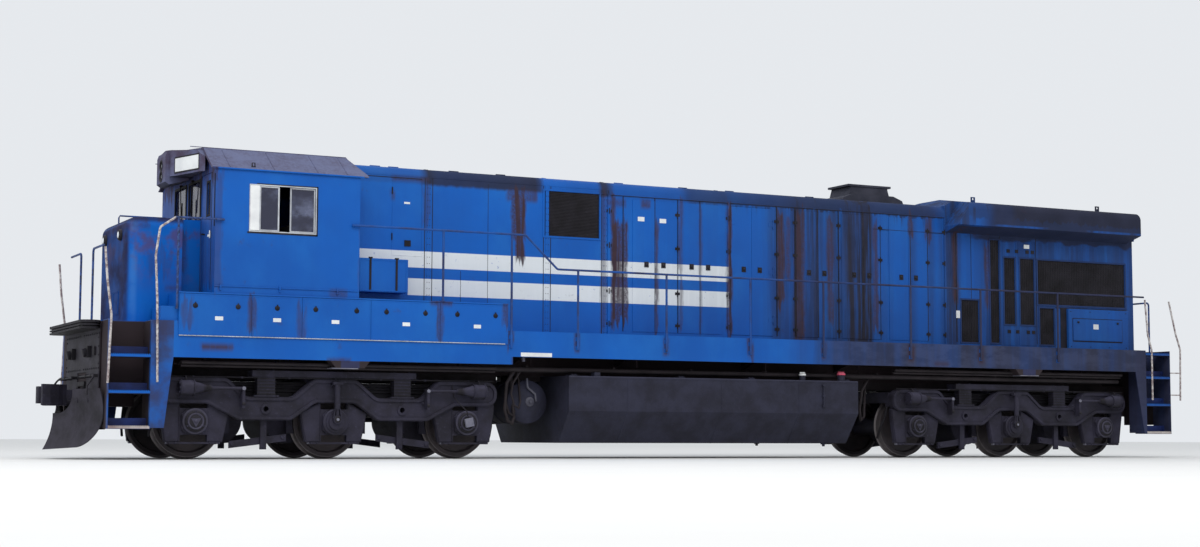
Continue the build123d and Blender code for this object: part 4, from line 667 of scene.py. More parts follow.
# Cab side: window sashes, deflector, drip rail, ledge and hold-down brackets
panes, frames, deflectors, trim, surrounds, seals = pieces(6)
frames.ring((-7.667, -6.670), (CAB_Y + 0.001, CAB_Y + 0.001), (3.195, 3.875), 0.016, 0.008)
for x0, x1, set_in in ((-7.517, -7.222, 0.006), (-7.063, -6.684, 0.014)):
    sash = CAB_Y - set_in
    frames.ring((x0, x1), (sash, sash), (3.211, 3.859), 0.022, -0.014)
    panes.box((x0 + 0.02, x1 - 0.02), (sash - 0.006, sash - 0.010), (3.23, 3.84))
deflectors.box((-7.653, -7.520), (CAB_Y - 0.008, CAB_Y + 0.012), (3.215, 3.858))
trim.box((-8.215, -5.955), (1.527, 1.536), (4.066, 4.086))
trim.box((CAB_FRONT, -6.020), (CAB_Y, 1.522), (2.396, 2.412))
for x in (-8.065, -7.201, -6.341):
    trim.box(about(x, 0.012), (CAB_Y, 1.530), (2.345, 2.430))
    trim.bolt((x, 1.530, 2.385), OUT, 0.010)
for x0, z0, z1 in ((-7.690, 3.172, 3.196), (-6.672, 3.172, 3.890), (-7.560, 3.874, 3.890)):
    surrounds.box((x0, -6.650), (CAB_Y + 0.0005, CAB_Y + 0.0055), (z0, z1))
# The gaps round the front door, which is on the left
surrounds.sides = LEFT
for y in ((1.288, 1.305), (0.730, 0.745)):
    surrounds.box((CAB_FRONT - 0.004, CAB_FRONT), y, (2.36, 4.04))
surrounds.box((CAB_FRONT - 0.010, CAB_FRONT), (1.455, 1.470), (3.25, 4.00))
surrounds.make("window_surrounds", black)
frames.make("cab_window_frames", aluminium, bevel=0.002)
deflectors.make("cab_window_deflectors", plate_white, bevel=0.004)
trim.make("cab_trim", blue_plain, bevel=0.002)

# Windshields with their seals and wipers, and the panes and handles of the doors
panes.box((CAB_FRONT + 0.018, CAB_FRONT + 0.026), (0.080, 0.710), (3.290, 3.990))
seals.ring((CAB_FRONT - 0.001, CAB_FRONT - 0.001), (0.060, 0.730), (3.270, 4.010), 0.034, -0.012)
wiper_x, pivot_z, tip_z = CAB_FRONT - 0.03, 4.02, 3.56
seals.bar((wiper_x, 0.33, pivot_z), (wiper_x, 0.26, tip_z), 0.007)
seals.bar((wiper_x + 0.012, 0.26, tip_z - 0.18), (wiper_x + 0.012, 0.26, tip_z + 0.2), 0.009)
seals.bar((CAB_FRONT, 0.33, pivot_z), (CAB_FRONT - 0.045, 0.33, pivot_z), 0.014)
seals.make("windshield_seals", rubber)
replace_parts(panes.make("cab_glass", glass), "cab_windows")
HANDLE_Z = 3.18
for name, x0, y0, y1, skin, handle_x, handle_y in (
        ("front", -8.143, -1.180, -1.020, -8.143, -8.188, -0.920),
        ("rear", -6.052, 1.045, 1.265, -6.016, -5.971, 0.925)):
    door_pane, gasket = Piece(MIDDLE), Piece(MIDDLE)
    door_pane.box((x0 + 0.015, x0 + 0.021), (y0, y1), (3.440, 3.920))
    for x, depth in ((x0, -0.006), (x0 + 0.036, 0.006)):
        gasket.ring((x, x), (y0 - 0.018, y1 + 0.018), (3.422, 3.938), 0.030, depth)
    gasket.bar((skin, handle_y, HANDLE_Z), (handle_x, handle_y, HANDLE_Z), 0.012)
    gasket.bar((handle_x, handle_y - 0.05, HANDLE_Z), (handle_x, handle_y + 0.02, HANDLE_Z), 0.010)
    door_pane.make(f"cab_{name}_door_pane", glass, f"cab_{name}_door_body")
    gasket.make(f"cab_{name}_door_gasket", rubber, f"cab_{name}_door_body")

# Hoods: seams, hinges, latches, screens and the electrical box
DECK = 1.905
HOOD_SEAMS = (-4.685, -2.690, -1.665)
# Gaps as (x, top, half width)
GAP_LINES = (
    (0.074, 4.15, 0.005), (0.646, 4.15, 0.010), (1.553, 4.15, 0.008), (1.918, 4.15, 0.012),
    (2.370, 4.15, 0.009), (2.790, 4.15, 0.007), (3.294, 4.15, 0.012), (3.649, 3.88, 0.006),
    (4.281, 3.88, 0.009), (4.652, 3.88, 0.006), (5.273, 3.92, 0.012), (-0.766, 4.15, 0.006),
    (-1.345, 4.15, 0.005), (-0.340, 4.15, 0.005), (-4.150, 2.83, 0.003), (-3.700, 4.20, 0.003),
    (5.600, 3.90, 0.004), (6.245, 3.90, 0.005), (7.060, 3.90, 0.007),
)
DOOR_POSTS = (-1.599, -0.350, 0.619, 1.553, 1.918, 2.790, 3.649, 4.652, 5.020)
# Where two hood doors meet. The opening pair is listed by itself.
DOOR_MEETINGS = (-0.766, 0.069, 2.343, 3.259, 4.241)
ENGINE_DOOR_X = 1.061
LATCH_REACH = 0.155
LATCH_Z = 3.07
DOOR_SKIN = HOOD_Y + 0.008
INTAKE = (-2.735, -1.772, 3.447, 4.156)
SCREENS = (
    (6.020, 6.221, 1.990, 3.820), (6.330, 6.576, 2.330, 3.515), (6.690, 7.010, 2.330, 3.515),
    (7.090, 9.140, 2.710, 3.508), (5.372, 5.756, 1.985, 2.730), (7.127, 7.457, 1.985, 2.642),
)
# Blank labels as (x, z, half width, half height, how far each stands out)
LABELS = (
    (-5.0375, 3.823, 0.0475, 0.015, 0.002), (-1.02, 3.80, 0.06, 0.035, 0.010),
    (-0.62, 3.79, 0.06, 0.035, 0.010), (6.845, 3.735, 0.06, 0.035, 0.010),
    (8.375, 2.335, 0.06, 0.045, 0.068), (5.298, 2.470, 0.038, 0.065, 0.010),
)


def plate(piece, x, z, proud, base=HOOD_Y):
    """A flat plate on a hood side."""
    piece.box(x, (base, base + proud), z)


def frame_on_hood(x0, x1, z0, z1, margin, width, proud):
    seams.ring((x0 - margin, x1 + margin), (HOOD_Y, HOOD_Y), (z0 - margin, z1 + margin), width, proud)


def latch_on(piece, x):
    """A latch plate and its knob on a hood door."""
    plate(piece, about(x, 0.040), about(LATCH_Z, 0.045), 0.006, DOOR_SKIN)
    piece.knob((x, DOOR_SKIN + 0.006, LATCH_Z), OUT, 0.022, 0.012, 12)


seams, hardware, meshes, labels, gap_and_shadow_strips, access = pieces(6)
for x in HOOD_SEAMS:
    plate(seams, about(x, 0.030), (DECK, 4.235), 0.005)
    for k in range(24):
        for hand in (-1, 1):
            hardware.bolt((x + hand * 0.018, HOOD_Y + 0.005, 1.96 + k * 0.096), OUT, 0.006, 0.004)
    for hand in (-1, 1):
        plate(gap_and_shadow_strips, about(x + hand * 0.062, 0.005), (DECK, 4.230), 0.003)
for x, top, half in GAP_LINES:
    plate(gap_and_shadow_strips, about(x, half), (1.985, top), 0.0095 if -1.6 < x < 5.02 else 0.002)
# Panel lines and dark strips. The line under the roof edge above the front hood door and the strip to the
# left of the raised rear access door are painted shadows.
for x, z, proud in (((3.50, 5.07), (3.876, 3.884), 0.0095), ((-1.60, 5.02), (4.152, 4.160), 0.011),
                    ((-5.90, -4.80), (4.196, 4.206), 0.004), ((7.600, 7.742), (1.925, 2.665), 0.004),
                    ((7.110, 9.165), (2.652, 2.668), 0.006)):
    plate(gap_and_shadow_strips, x, z, proud)
plate(seams, (-6.005, -1.770), (4.228, 4.240), 0.004)
plate(seams, (-1.750, 5.020), (4.160, 4.178), 0.010)
for x in (-1.599, 0.619, 5.034):
    plate(seams, about(x, 0.022), (DECK, 4.160), 0.016)
for x in DOOR_POSTS:
    for z in (2.10, 2.62, 3.35, 3.90):
        hardware.bar((x, DOOR_SKIN + 0.006, z - 0.045), (x, DOOR_SKIN + 0.006, z + 0.045), 0.011, 8)
        plate(hardware, about(x, 0.045), about(z, 0.022), 0.011)
for x in DOOR_MEETINGS:
    for hand in (-1, 1):
        latch_on(hardware, x + hand * LATCH_REACH)

# Intake slats in their recess, and the screens' wires
x0, x1, z0, z1 = INTAKE
slat_back, slat_front = HOOD_Y - 0.022, HOOD_Y - 0.006
for k in range(30):
    z = z0 + 0.012 + k * (z1 - z0 - 0.02) / 30
    meshes.prism([(x0, slat_back, z), (x0, slat_front, z - 0.006), (x0, slat_front, z - 0.003),
                  (x0, slat_back, z + 0.003)], (x1 - x0, 0, 0))
frame_on_hood(*INTAKE, 0.03, 0.030, 0.010)
MESH = 0.04
for x0, x1, z0, z1 in SCREENS:
    frame_on_hood(x0, x1, z0, z1, 0.025, 0.027, 0.010)
    across = max(2, round((x1 - x0) / MESH))
    for k in range(1, across):
        plate(meshes, about(x0 + k * (x1 - x0) / across, 0.004), (z0, z1), -0.008, HOOD_Y - 0.008)
    upward = max(2, round((z1 - z0) / MESH))
    for k in range(1, upward):
        plate(meshes, (x0, x1), about(z0 + k * (z1 - z0) / upward, 0.004), -0.006, HOOD_Y - 0.008)

# Panels and small fittings of the equipment hood
frame_on_hood(-5.277, -4.790, 3.02, 4.19, 0, 0.010, 0.004)
plate(hardware, (-5.075, -4.975), (3.165, 3.255), 0.014)
for z in (3.30, 4.00):
    hardware.bar((-5.277, HOOD_Y + 0.008, z - 0.05), (-5.277, HOOD_Y + 0.008, z + 0.05), 0.010, 8)
for x, z, wide, tall, proud in LABELS:
    plate(labels, about(x, wide), about(z, tall), proud)

# Rear access door, raised, with its latches, and the latches of the narrow screens
RAISED = HOOD_Y + 0.055
plate(access, (7.745, 9.160), (1.925, 2.650), 0.055)
plate(access, (7.850, 9.000), (2.075, 2.470), 0.010, RAISED)
for z in ((2.055, 2.074), (2.471, 2.482)):
    plate(gap_and_shadow_strips, (7.845, 9.005), z, 0.004, RAISED)
for x in (7.838, 9.006):
    plate(gap_and_shadow_strips, about(x, 0.004), (2.06, 2.48), 0.002, RAISED)
for x in (7.96, 8.89):
    hardware.knob((x, RAISED + 0.010, 2.41), OUT, 0.02, 0.02, 12)
for x in (7.80, 8.25, 8.70, 9.10):
    for z in (1.965, 2.600):
        hardware.bolt((x, RAISED, z), OUT, 0.009, 0.006)
for x in (6.43, 6.62, 6.86, 6.98):
    for z in (2.20, 3.64):
        plate(hardware, about(x, 0.035), about(z, 0.03), 0.008)
for x0, x1 in ((6.30, 6.61), (6.655, 7.045)):
    frame_on_hood(x0, x1, 1.96, 3.83, 0, 0.010, 0.005)

# Electrical box, on the left only
BOX_FACE = 1.200
seams.sides = hardware.sides = LEFT
seams.ring((-5.890, -5.140), (BOX_FACE, BOX_FACE), (2.444, 2.920), 0.022, 0.006)
for x in (-5.725, -5.312):
    plate(hardware, about(x, 0.016), (2.46, 2.945), 0.010, BOX_FACE)
    hardware.bar((x - 0.03, BOX_FACE + 0.006, 2.938), (x + 0.03, BOX_FACE + 0.006, 2.938), 0.011, 8)
seams.make("hood_seams", blue, bevel=0.002)
access.make("rear_access_doors", blue_box, bevel=0.006)
gap_and_shadow_strips.make("hood_gaps_and_painted_shadows", seam_dark)
hardware.make("hood_hinges_and_latches", black)
meshes.make("screen_bars", black)
labels.make("hood_blank_labels", plate_white)
for side, sides in (("left", LEFT), ("right", RIGHT)):
    for end, hand in (("front", -1), ("rear", 1)):
        latch = Piece(sides)
        latch_on(latch, ENGINE_DOOR_X + hand * LATCH_REACH)
        latch.make(f"engine_door_latch_{side}_{end}", black, f"engine_door_{side}_{end}_body")

# Lamps and blank number boards
boards, rims, lamps = pieces(3)
inner, outer = Vector((-8.4635, 0.41, 0)), Vector((-8.270, 1.04, 0))
run = (outer - inner).normalized()
out = Vector((-run.y, -run.x, 0))
for piece, trim_by, z0, z1, depth in ((rims, 0.0, 4.10, 4.34, 0.006), (boards, 0.022, 4.122, 4.318, 0.009)):
    a, b = inner + run * trim_by, outer - run * trim_by
    piece.prism([(a.x, a.y, z0), (b.x, b.y, z0), (b.x, b.y, z1), (a.x, a.y, z1)], out * depth)
NOSE_LAMP = (-9.232, 0.48, 3.16)
rims.turned(NOSE_LAMP, (-1, 0, 0), [(0, 0.085), (0.03, 0.080), (0.045, 0.066), (0.045, 0.058)], 24)
lamps.turned(NOSE_LAMP, (-1, 0, 0), [(0.03, 0.058), (0.044, 0.050), (0.052, 0.028), (0.055, 0.0)], 24)
rims.sides = lamps.sides = MIDDLE
for x, hand, heights in ((-8.560, -1, (4.10, 4.26)), (9.425, 1, (3.99, 4.16))):
    for z in heights:
        rims.turned((x, 0, z), (hand, 0, 0), [(0, 0.086), (0.008, 0.084), (0.008, 0.067), (-0.028, 0.064)],
                    28, open_start=True)
        lamps.turned((x, 0, z), (hand, 0, 0),
                     [(-0.029, 0.066), (-0.020, 0.060), (-0.012, 0.036), (-0.010, 0)], 24)
boards.make("blank_number_boards", plate_white, bevel=0.002)
rims.make("lamp_rims", black)
lamps.make("lamp_lenses", lamp_glass)

# Nose: hatches on top, low hatch, the striker of the cab door, and the grab rail on the right
hatches, striker, nose_rail = Piece(), Piece(LEFT), Piece(RIGHT)
hatches.turned((-8.72, 0.52, 3.392), UPWARD, [(0, 0.13), (0.022, 0.13), (0.030, 0.10), (0.030, 0)], 28)
hatches.bar((-8.60, 0.47, 3.415), (-8.60, 0.57, 3.415), 0.012, 8)
hatches.sides = LEFT
hatches.ring((-9.231, -9.231), (0.06, 0.40), (2.03, 2.36), 0.012, -0.006)
hatches.make("nose_hatches", blue_nose)
striker.box((CAB_FRONT - 0.006, CAB_FRONT), (1.205, 1.245), (3.10, 3.21))
striker.box((CAB_FRONT - 0.030, CAB_FRONT - 0.006), (1.210, 1.240), (3.12, 3.15))
striker.make("cab_door_striker", plate_white)
rail = ((-9.02, 3.395), (-9.02, 3.53), (-9.005, 3.56), (-8.32, 3.56), (-8.30, 3.53), (-8.30, 3.395))
nose_rail.pipe([(x, 0.62, z) for x, z in rail], 0.012)
nose_rail.make("nose_grab_rail", blue_rail)

# Step edges with saw teeth, and the toe boards behind the steps
BOTTOM_STEP, DECK_STEP = 0.430, 1.845
STEP_X = (9.022, 9.588)
TEETH = 22
treads, saws, toes = pieces(3)
for end, levels in ((-1, (1.415, 0.915, BOTTOM_STEP)), (1, (DECK_STEP, 1.420, 0.930, BOTTOM_STEP))):
    x0, x1 = sorted(end * x for x in STEP_X)
    tooth = (x1 - x0) / TEETH
    for z in levels:
        target = saws if z == BOTTOM_STEP else treads
        for k in range(TEETH):
            a = x0 + tooth * k
            target.box((a, a + tooth / 2), (1.500, 1.526), (z, z + 0.012))
        target.box((x0, x1), (1.524, 1.530), (z - 0.030, z))
        if z < DECK_STEP:
            toes.box((x0, x1), (1.345, 1.351), (z, z + 0.115))
            for x in (x0 + 0.06, x1 - 0.06):
                toes.bolt((x, 1.351, z + 0.07), OUT, 0.010, 0.008)
toes.make("step_toe_boards", toe_blue)
treads.make("step_tread_edges", blue_plain)
saws.make("bottom_tread_edges", handrail_white)

# Handrail feet on the sill, and its blank signs
feet, signs = pieces(2)
for x in (-3.588, -2.467, -0.911, 0.637, 2.043, 3.800, 5.280, 6.980):
    for z in (1.66, 1.80):
        feet.box(about(x, 0.032), (SILL_Y, SILL_Y + 0.006), about(z, 0.03))
        for hand in (-1, 1):
            feet.bolt((x + hand * 0.022, SILL_Y + 0.006, z), OUT, 0.008, 0.008)
feet.make("handrail_feet", blue_plain)
for sides, x in ((LEFT, (-3.42, -2.90)), (RIGHT, (2.90, 3.42))):
    signs.sides = sides
    signs.box(x, (SILL_Y, SILL_Y + 0.004), (1.515, 1.575))
signs.make("blank_sill_signs", plate_white)

# Trucks: journal covers, springs, brake cylinders, pipes and bolts, all riding on their truck
FRAME_FACE = 1.210
JOURNAL_Y = 1.215
CYLINDER_Y, CYLINDER_Z = 1.306, 0.975
PIPE_Z = 1.137


def end_journal(x):
    """A round journal cover with three bolts and a raised triangle."""
    rings.turned((x, JOURNAL_Y, AXLE_Z), OUT,
                 [(0, 0.182), (0.016, 0.182), (0.020, 0.176), (0.020, 0.158)], 36)
    shade.turned((x, 1.246, AXLE_Z), OUT, [(0, 0.152), (0.004, 0.152), (0.005, 0.110)], 36)
    rings.turned((x, 1.262, AXLE_Z), OUT,
                 [(0, 0.117), (0.014, 0.117), (0.017, 0.110), (0.017, 0.096), (0.0105, 0.094)], 36)
    shade.turned((x, 1.2722, AXLE_Z), OUT, [(0, 0.092), (0.0015, 0.090), (0.0015, 0)], 36)
    for at in circle((x, 1.252, AXLE_Z), 0.131, 3, 90):
        iron.bolt(at, OUT, 0.015, 0.014)
    rings.prism(circle((x, 1.272, AXLE_Z), 0.082, 3, -90), (0, 0.012, 0))
    rings.turned((x, 1.284, AXLE_Z), OUT, [(0, 0.030), (0.010, 0.026), (0.012, 0.0)], 14)


def middle_journal(x):
    """A plain cover, with the foot of the upright damper on it."""
    iron.turned((x, JOURNAL_Y, AXLE_Z), OUT, [(0, 0.192), (0.012, 0.190), (0.020, 0.172)], 36)
    shade.turned((x, 1.318, 0.545), OUT, [(0, 0.050), (0.006, 0.048), (0.006, 0.024)], 20)
    pale.knob((x, 1.318, 0.545), OUT, 0.024, 0.016, 6)
    for z in (1.044, 0.704):
        iron.disc((x, 1.290, z - 0.012), UPWARD, 0.050, 0.012, 18)
    for k in (-1, 1):
        iron.prism([(x + k * dx, 1.275, z) for dx, z in ((0.030, 0.700), (0.044, 0.700), (0.072, 0.560),
                                                         (0.050, 0.560))], (0, 0.040, 0))


def jaw(x):
    """The bolts and liners of the jaw round a journal box."""
    for corner in circle((0, 0, 0), 1, 4, 45):
        iron.bolt((x + 0.170 * corner[0], JOURNAL_Y, AXLE_Z + 0.150 * corner[2]), OUT, 0.017, 0.016)
    for hand in (-1, 1):
        for reach in (0.245, 0.335):
            iron.bolt((x + hand * reach, 1.140, 0.2035), OUT, 0.016, 0.018)
        iron.box(about(x + hand * 0.204, 0.008), (1.120, 1.150), (0.225, 0.70))
        pale.box(about(x + hand * 0.379, 0.004), (1.06, 1.140), (0.190, 0.217))


def half_truck(middle, hand):
    """The spring nest, brake cylinder, brake rods and sand pipe of one half of a truck."""
    x = middle + hand * 1.040
    for k in range(6):
        shade.box(about(x, 0.136), (1.052, 1.202), about(0.905 + k * 0.044, 0.008))
    for k in (-1, 1):
        iron.bolt((x + k * 0.160, FRAME_FACE, 0.876), OUT, 0.014, 0.010)
        iron.bolt((x + k * 0.108, 1.168, 1.240), UPWARD, 0.020, 0.016)
    iron.bolt((x + hand * 0.32, FRAME_FACE, 0.80), OUT, 0.020, 0.016)
    # Brake cylinder: head bolts, bands, a push-rod boot and its air pipe
    head = middle + hand * 2.330
    for at in circle((head, CYLINDER_Y, CYLINDER_Z), 0.088, 8, 0, "yz"):
        iron.bolt(at, (hand, 0, 0), 0.012, 0.012)
    for offset in (0.016, 0.196):
        iron.disc((head - hand * offset, CYLINDER_Y, CYLINDER_Z), (-hand, 0, 0), 0.116, 0.014, 28)
    for k in range(5):
        shade.turned((head - hand * (0.345 + 0.022 * k), CYLINDER_Y, CYLINDER_Z), (-hand, 0, 0),
                     [(0, 0.044), (0.010, 0.062 - 0.004 * k), (0.020, 0.044)], 18)
    tubes.pipe([(head - hand * 0.10, y, z) for y, z in ((CYLINDER_Y, 1.075), (CYLINDER_Y, 1.112),
                                                        (1.27, PIPE_Z), (1.185, PIPE_Z))], 0.011)
    pale.knob((middle + hand * 1.405, 1.330, CYLINDER_Z), OUT, 0.030, 0.014, 6)
    shade.knob((middle + hand * 1.405, 1.330, 0.760), OUT, 0.026, 0.012, 16)
    # Brake rod pins and the hanger bar's head
    for dx, z in ((1.480, 0.185), (0.740, 0.285)):
        iron.knob((middle + hand * dx, 1.055, z), OUT, 0.030, 0.020, 12)
    iron.bolt((x, 1.100, 0.150), OUT, 0.018, 0.016)
    # Sand pipe in front of the end wheel, and its clip
    tubes.pipe([(middle + hand * dx, y, z) for dx, y, z in ((2.545, 1.00, 0.88), (2.570, 0.98, 0.70),
                                                            (2.615, 0.88, 0.46), (2.620, 0.80, 0.30))], 0.019)
    iron.box(about(middle + hand * 2.545, 0.020), (0.97, 1.05), (0.84, 0.90))


for truck, middle in TRUCK_X.items():
    iron, shade, pale, tubes, rings = pieces(5)
    for step in (-1, 0, 1):
        x = middle + step * AXLE_STEP
        (end_journal if step else middle_journal)(x)
        jaw(x)
    for hand in (-1, 1):
        half_truck(middle, hand)
        # Bracket of the upright damper
        iron.bolt((middle + hand * 0.058, 1.196, 1.105), OUT, 0.016, 0.016)
        x = middle + hand * 0.075
        iron.prism([(x, FRAME_FACE, 1.09), (x, FRAME_FACE, 0.99), (x, 1.275, 1.055)], (-hand * 0.012, 0, 0))
    tubes.pipe([(middle - 2.50, 1.185, PIPE_Z), (middle + 2.50, 1.185, PIPE_Z)], 0.010, 8)
    for k in range(7):
        iron.box(about(middle - 2.1 + k * 0.70, 0.014), (1.168, 1.202), (1.122, 1.149))
    # Pipes and their rack inside the frame
    tubes.box(about(middle, 2.46), (0.885, 0.915), (0.865, 1.085))
    for k in range(9):
        tubes.box(about(middle - 2.2 + k * 0.55, 0.02), (0.915, 1.045), (0.90, 0.93))
    for z in (0.95, 1.00, 1.04):
        tubes.bar((middle - 2.45, 0.935, z), (middle + 2.45, 0.935, z), 0.012, 6)
    if truck == "front":
        # A small speed sensor box on the rear journal cover of the left side, with its cable
        pale.sides = tubes.sides = LEFT
        x = middle + AXLE_STEP
        tilt = math.radians(12)
        corners = [(x + 0.065 * (a * math.cos(tilt) - b * math.sin(tilt)), 1.292,
                    0.515 + 0.065 * (a * math.sin(tilt) + b * math.cos(tilt)))
                   for a, b in ((-1, -1), (1, -1), (1, 1), (-1, 1))]
        pale.prism(corners, (0, 0.040, 0))
        cable = ((0.02, 1.325, 0.58), (0.05, 1.34, 0.68), (0.14, 1.30, 0.78), (0.22, 1.23, 0.90),
                 (0.24, 1.20, 1.10))
        tubes.pipe([(x - dx, y, z) for dx, y, z in cable], 0.008, 8)
    body = f"{truck}_truck"
    iron.make(f"truck_castings_{truck}", cast_iron, body, bevel=0.002)
    rings.make(f"journal_cover_rings_{truck}", ring_grey, body)
    shade.make(f"truck_dark_fittings_{truck}", black, body)
    pale.make(f"truck_pale_fittings_{truck}", bright_grey, body, bevel=0.002)
    tubes.make(f"truck_pipes_{truck}", black, body)

# Underframe: conduits and their clips, air ducts beside the centre sill, and the jacking pads' plates
under, pad_plates = pieces(2)
FRONT_RUN, REAR_RUN, WHOLE_RUN = (-8.55, -3.75), (3.60, 8.60), (-8.55, 8.60)
for y, z, radius, (x0, x1) in ((1.345, 1.330, 0.026, FRONT_RUN), (1.300, 1.285, 0.020, FRONT_RUN),
                               (1.345, 1.445, 0.026, REAR_RUN), (1.300, 1.400, 0.020, REAR_RUN),
                               (1.240, 1.330, 0.036, WHOLE_RUN), (1.160, 1.320, 0.028, WHOLE_RUN)):
    under.bar((x0, y, z), (x1, y, z), radius, 10)
for x in (-8.2, -7.1, -5.4, -4.3, -3.2, -1.7, -0.3, 1.1, 3.3, 4.7, 5.8, 7.1, 8.3):
    under.box(about(x, 0.012), (1.125, 1.270), (1.366, 1.388))
for middle in TRUCK_X.values():
    for hand in (-1, 1):
        duct = middle + hand * 1.71
        under.box(about(duct, 1.19), (0.245, 0.425), (1.125, 1.270))
        under.turned((duct, 0.335, 1.07), UPWARD, [(0, 0.10), (0.025, 0.13), (0.05, 0.10)], 16)
under.box((-2.95, 2.95), (0.25, 0.42), (1.18, 1.27))
under.make("underframe_conduits", under_dark)
for x, z in ((-6.21, 1.285), (6.34, 1.402)):
    pad_plates.box(about(x, 0.20), (1.30, 1.532), (z - 0.012, z))
pad_plates.make("jacking_pad_plates", bright_grey, bevel=0.002)

# Fuel tank: seams, sight gauge, filler caps, straps and drain
TANK_Y = 1.449
tank_bits, caps_white, caps_pink = pieces(3)
tank_bits.box((-2.575, 2.785), (TANK_Y, TANK_Y + 0.003), (1.205, 1.213))
SLOPE_NORMAL = Vector((0, 0.803, -0.596))
for x in (-1.55, 0.15, 1.62):
    x0, x1 = about(x, 0.008)
    tank_bits.box((x0, x1), (TANK_Y, TANK_Y + 0.004), (0.725, 1.22))
    tank_bits.prism([(x0, 1.083, 0.213), (x1, 1.083, 0.213), (x1, 1.445, 0.702), (x0, 1.445, 0.702)],
                    SLOPE_NORMAL * 0.004)
tank_bits.bar((2.09, 1.468, 0.83), (2.09, 1.468, 1.16), 0.013)
for z in (0.825, 0.99, 1.165):
    tank_bits.box((2.062, 2.118), (TANK_Y, 1.486), about(z, 0.016))
for cap, x, radius, top in ((caps_white, 1.746, 0.052, 1.334), (caps_pink, 2.510, 0.066, 1.354)):
    cap.turned((x, 1.35, top - 0.012), UPWARD,
               [(0, radius + 0.006), (0.024, radius + 0.008), (0.036, radius - 0.012), (0.040, 0)])
    cap.box(about(x, radius * 0.9), (1.340, 1.360), (top + 0.022, top + 0.044))
tank_bits.turned((2.35, 1.05, 0.213), (0, 0, -1),
                 [(0, 0.05), (0.018, 0.048), (0.018, 0.024), (0.05, 0.024)], 12)
for x in (-2.45, -0.55, 0.75, 2.60):
    tank_bits.box(about(x, 0.05), (1.20, 1.40), (1.240, 1.262))
    for k in (-1, 1):
        tank_bits.bolt((x + k * 0.03, 1.36, 1.262), UPWARD, 0.014, 0.014)
tank_bits.make("fuel_tank_fittings", tank_black, bevel=0.002)
caps_white.make("filler_cap_white", plate_white, bevel=0.002)
caps_pink.make("filler_cap_pink", pink, bevel=0.002)

# Loops of pipe behind the front truck, and the pipe, valve and bracket of the air reservoirs
loops, valves = pieces(2)
for x, low, y, radius in ((-3.47, 0.50, 1.16, 0.026), (-3.43, 0.62, 1.10, 0.021), (-3.38, 0.74, 1.20, 0.016)):
    loops.pipe([(x + 0.10, y, 1.30), (x - 0.02, y, 1.12), (x - 0.05, y, low + 0.22),
                (x + 0.01, y - 0.02, low + 0.05), (x + 0.10, y - 0.05, low), (x + 0.16, y - 0.12, low + 0.10),
                (x + 0.17, y - 0.22, low + 0.45), (x + 0.16, y - 0.25, 1.30)], radius)
loops.pipe([(3.20, 1.12, 1.28), (3.06, 1.16, 1.10), (3.02, 1.14, 0.80), (3.10, 1.05, 0.60),
            (3.24, 0.95, 0.66), (3.30, 0.90, 1.25)], 0.024)
loops.make("underframe_loops", under_dark)
valves.pipe([(-3.10, 1.060, 1.20), *arc((-3.02, 1.075, 1.10), 0.08, 180, 250, "xz", 5), (-2.97, 1.08, 0.96),
             (-2.95, 1.07, 0.85)], 0.017)
valves.turned((-3.05, 1.060, 0.842), OUT, [(0, 0.075), (0.012, 0.072), (0.016, 0.04)])
valves.bar((-3.05, 1.060, 0.842), (-3.05, 1.10, 0.842), 0.022)
valves.box((-3.37, -3.33), (1.44, 1.48), (1.44, 1.51))
valves.make("reservoir_pipes", pipe_grey)

# Both ends: uncoupling levers, receptacles, rows of rivets, and the coupler pocket with its bolts
LEVER = ((0, 0.20, 1.13), (0, 1.16, 1.13), (0.02, 1.22, 1.10), (0.10, 1.24, 0.98), (0.10, 1.24, 0.86))
levers, receptacles = pieces(2)
for end, face in ((-1, -9.634), (1, 9.621)):
    lever_x = end * 9.72
    outward = (end, 0, 0)
    levers.pipe([(lever_x + end * dx, y, z) for dx, y, z in LEVER], 0.014)
    for y in (0.24, 0.70, 1.04):
        levers.box((face, lever_x + end * 0.018), about(y, 0.012), (1.108, 1.152))
    receptacles.box((face, face + end * 0.055), about(0.52, 0.075), (1.40, 1.56))
    receptacles.turned((face + end * 0.055, 0.52, 1.47), (end, 0, -0.25),
                       [(0, 0.062), (0.05, 0.062), (0.058, 0.050), (0.058, 0)])
    receptacles.box((face, face + end * 0.030), about(0.84, 0.05), (1.42, 1.54))
    rivets = [(0.12 + 0.135 * k, z) for k in range(8) for z in (1.24, 1.72)]
    rivets += [(1.055, 1.30 + 0.12 * k) for k in range(4)]
    for y, z in rivets:
        levers.bolt((face, y, z), outward, 0.013, 0.008)
    pocket = (end * 9.622, end * 9.650)
    receptacles.box(pocket, (0.170, 0.235), (0.735, 1.020))
    for z in (0.78, 0.88, 0.98):
        levers.bolt((end * 9.650, 0.203, z), outward, 0.016, 0.012)
    receptacles.sides = MIDDLE
    receptacles.box(pocket, (-0.235, 0.235), (1.005, 1.070))
    receptacles.sides = BOTH
levers.make("end_levers_and_rivets", black)
receptacles.make("end_receptacles", black, bevel=0.004)

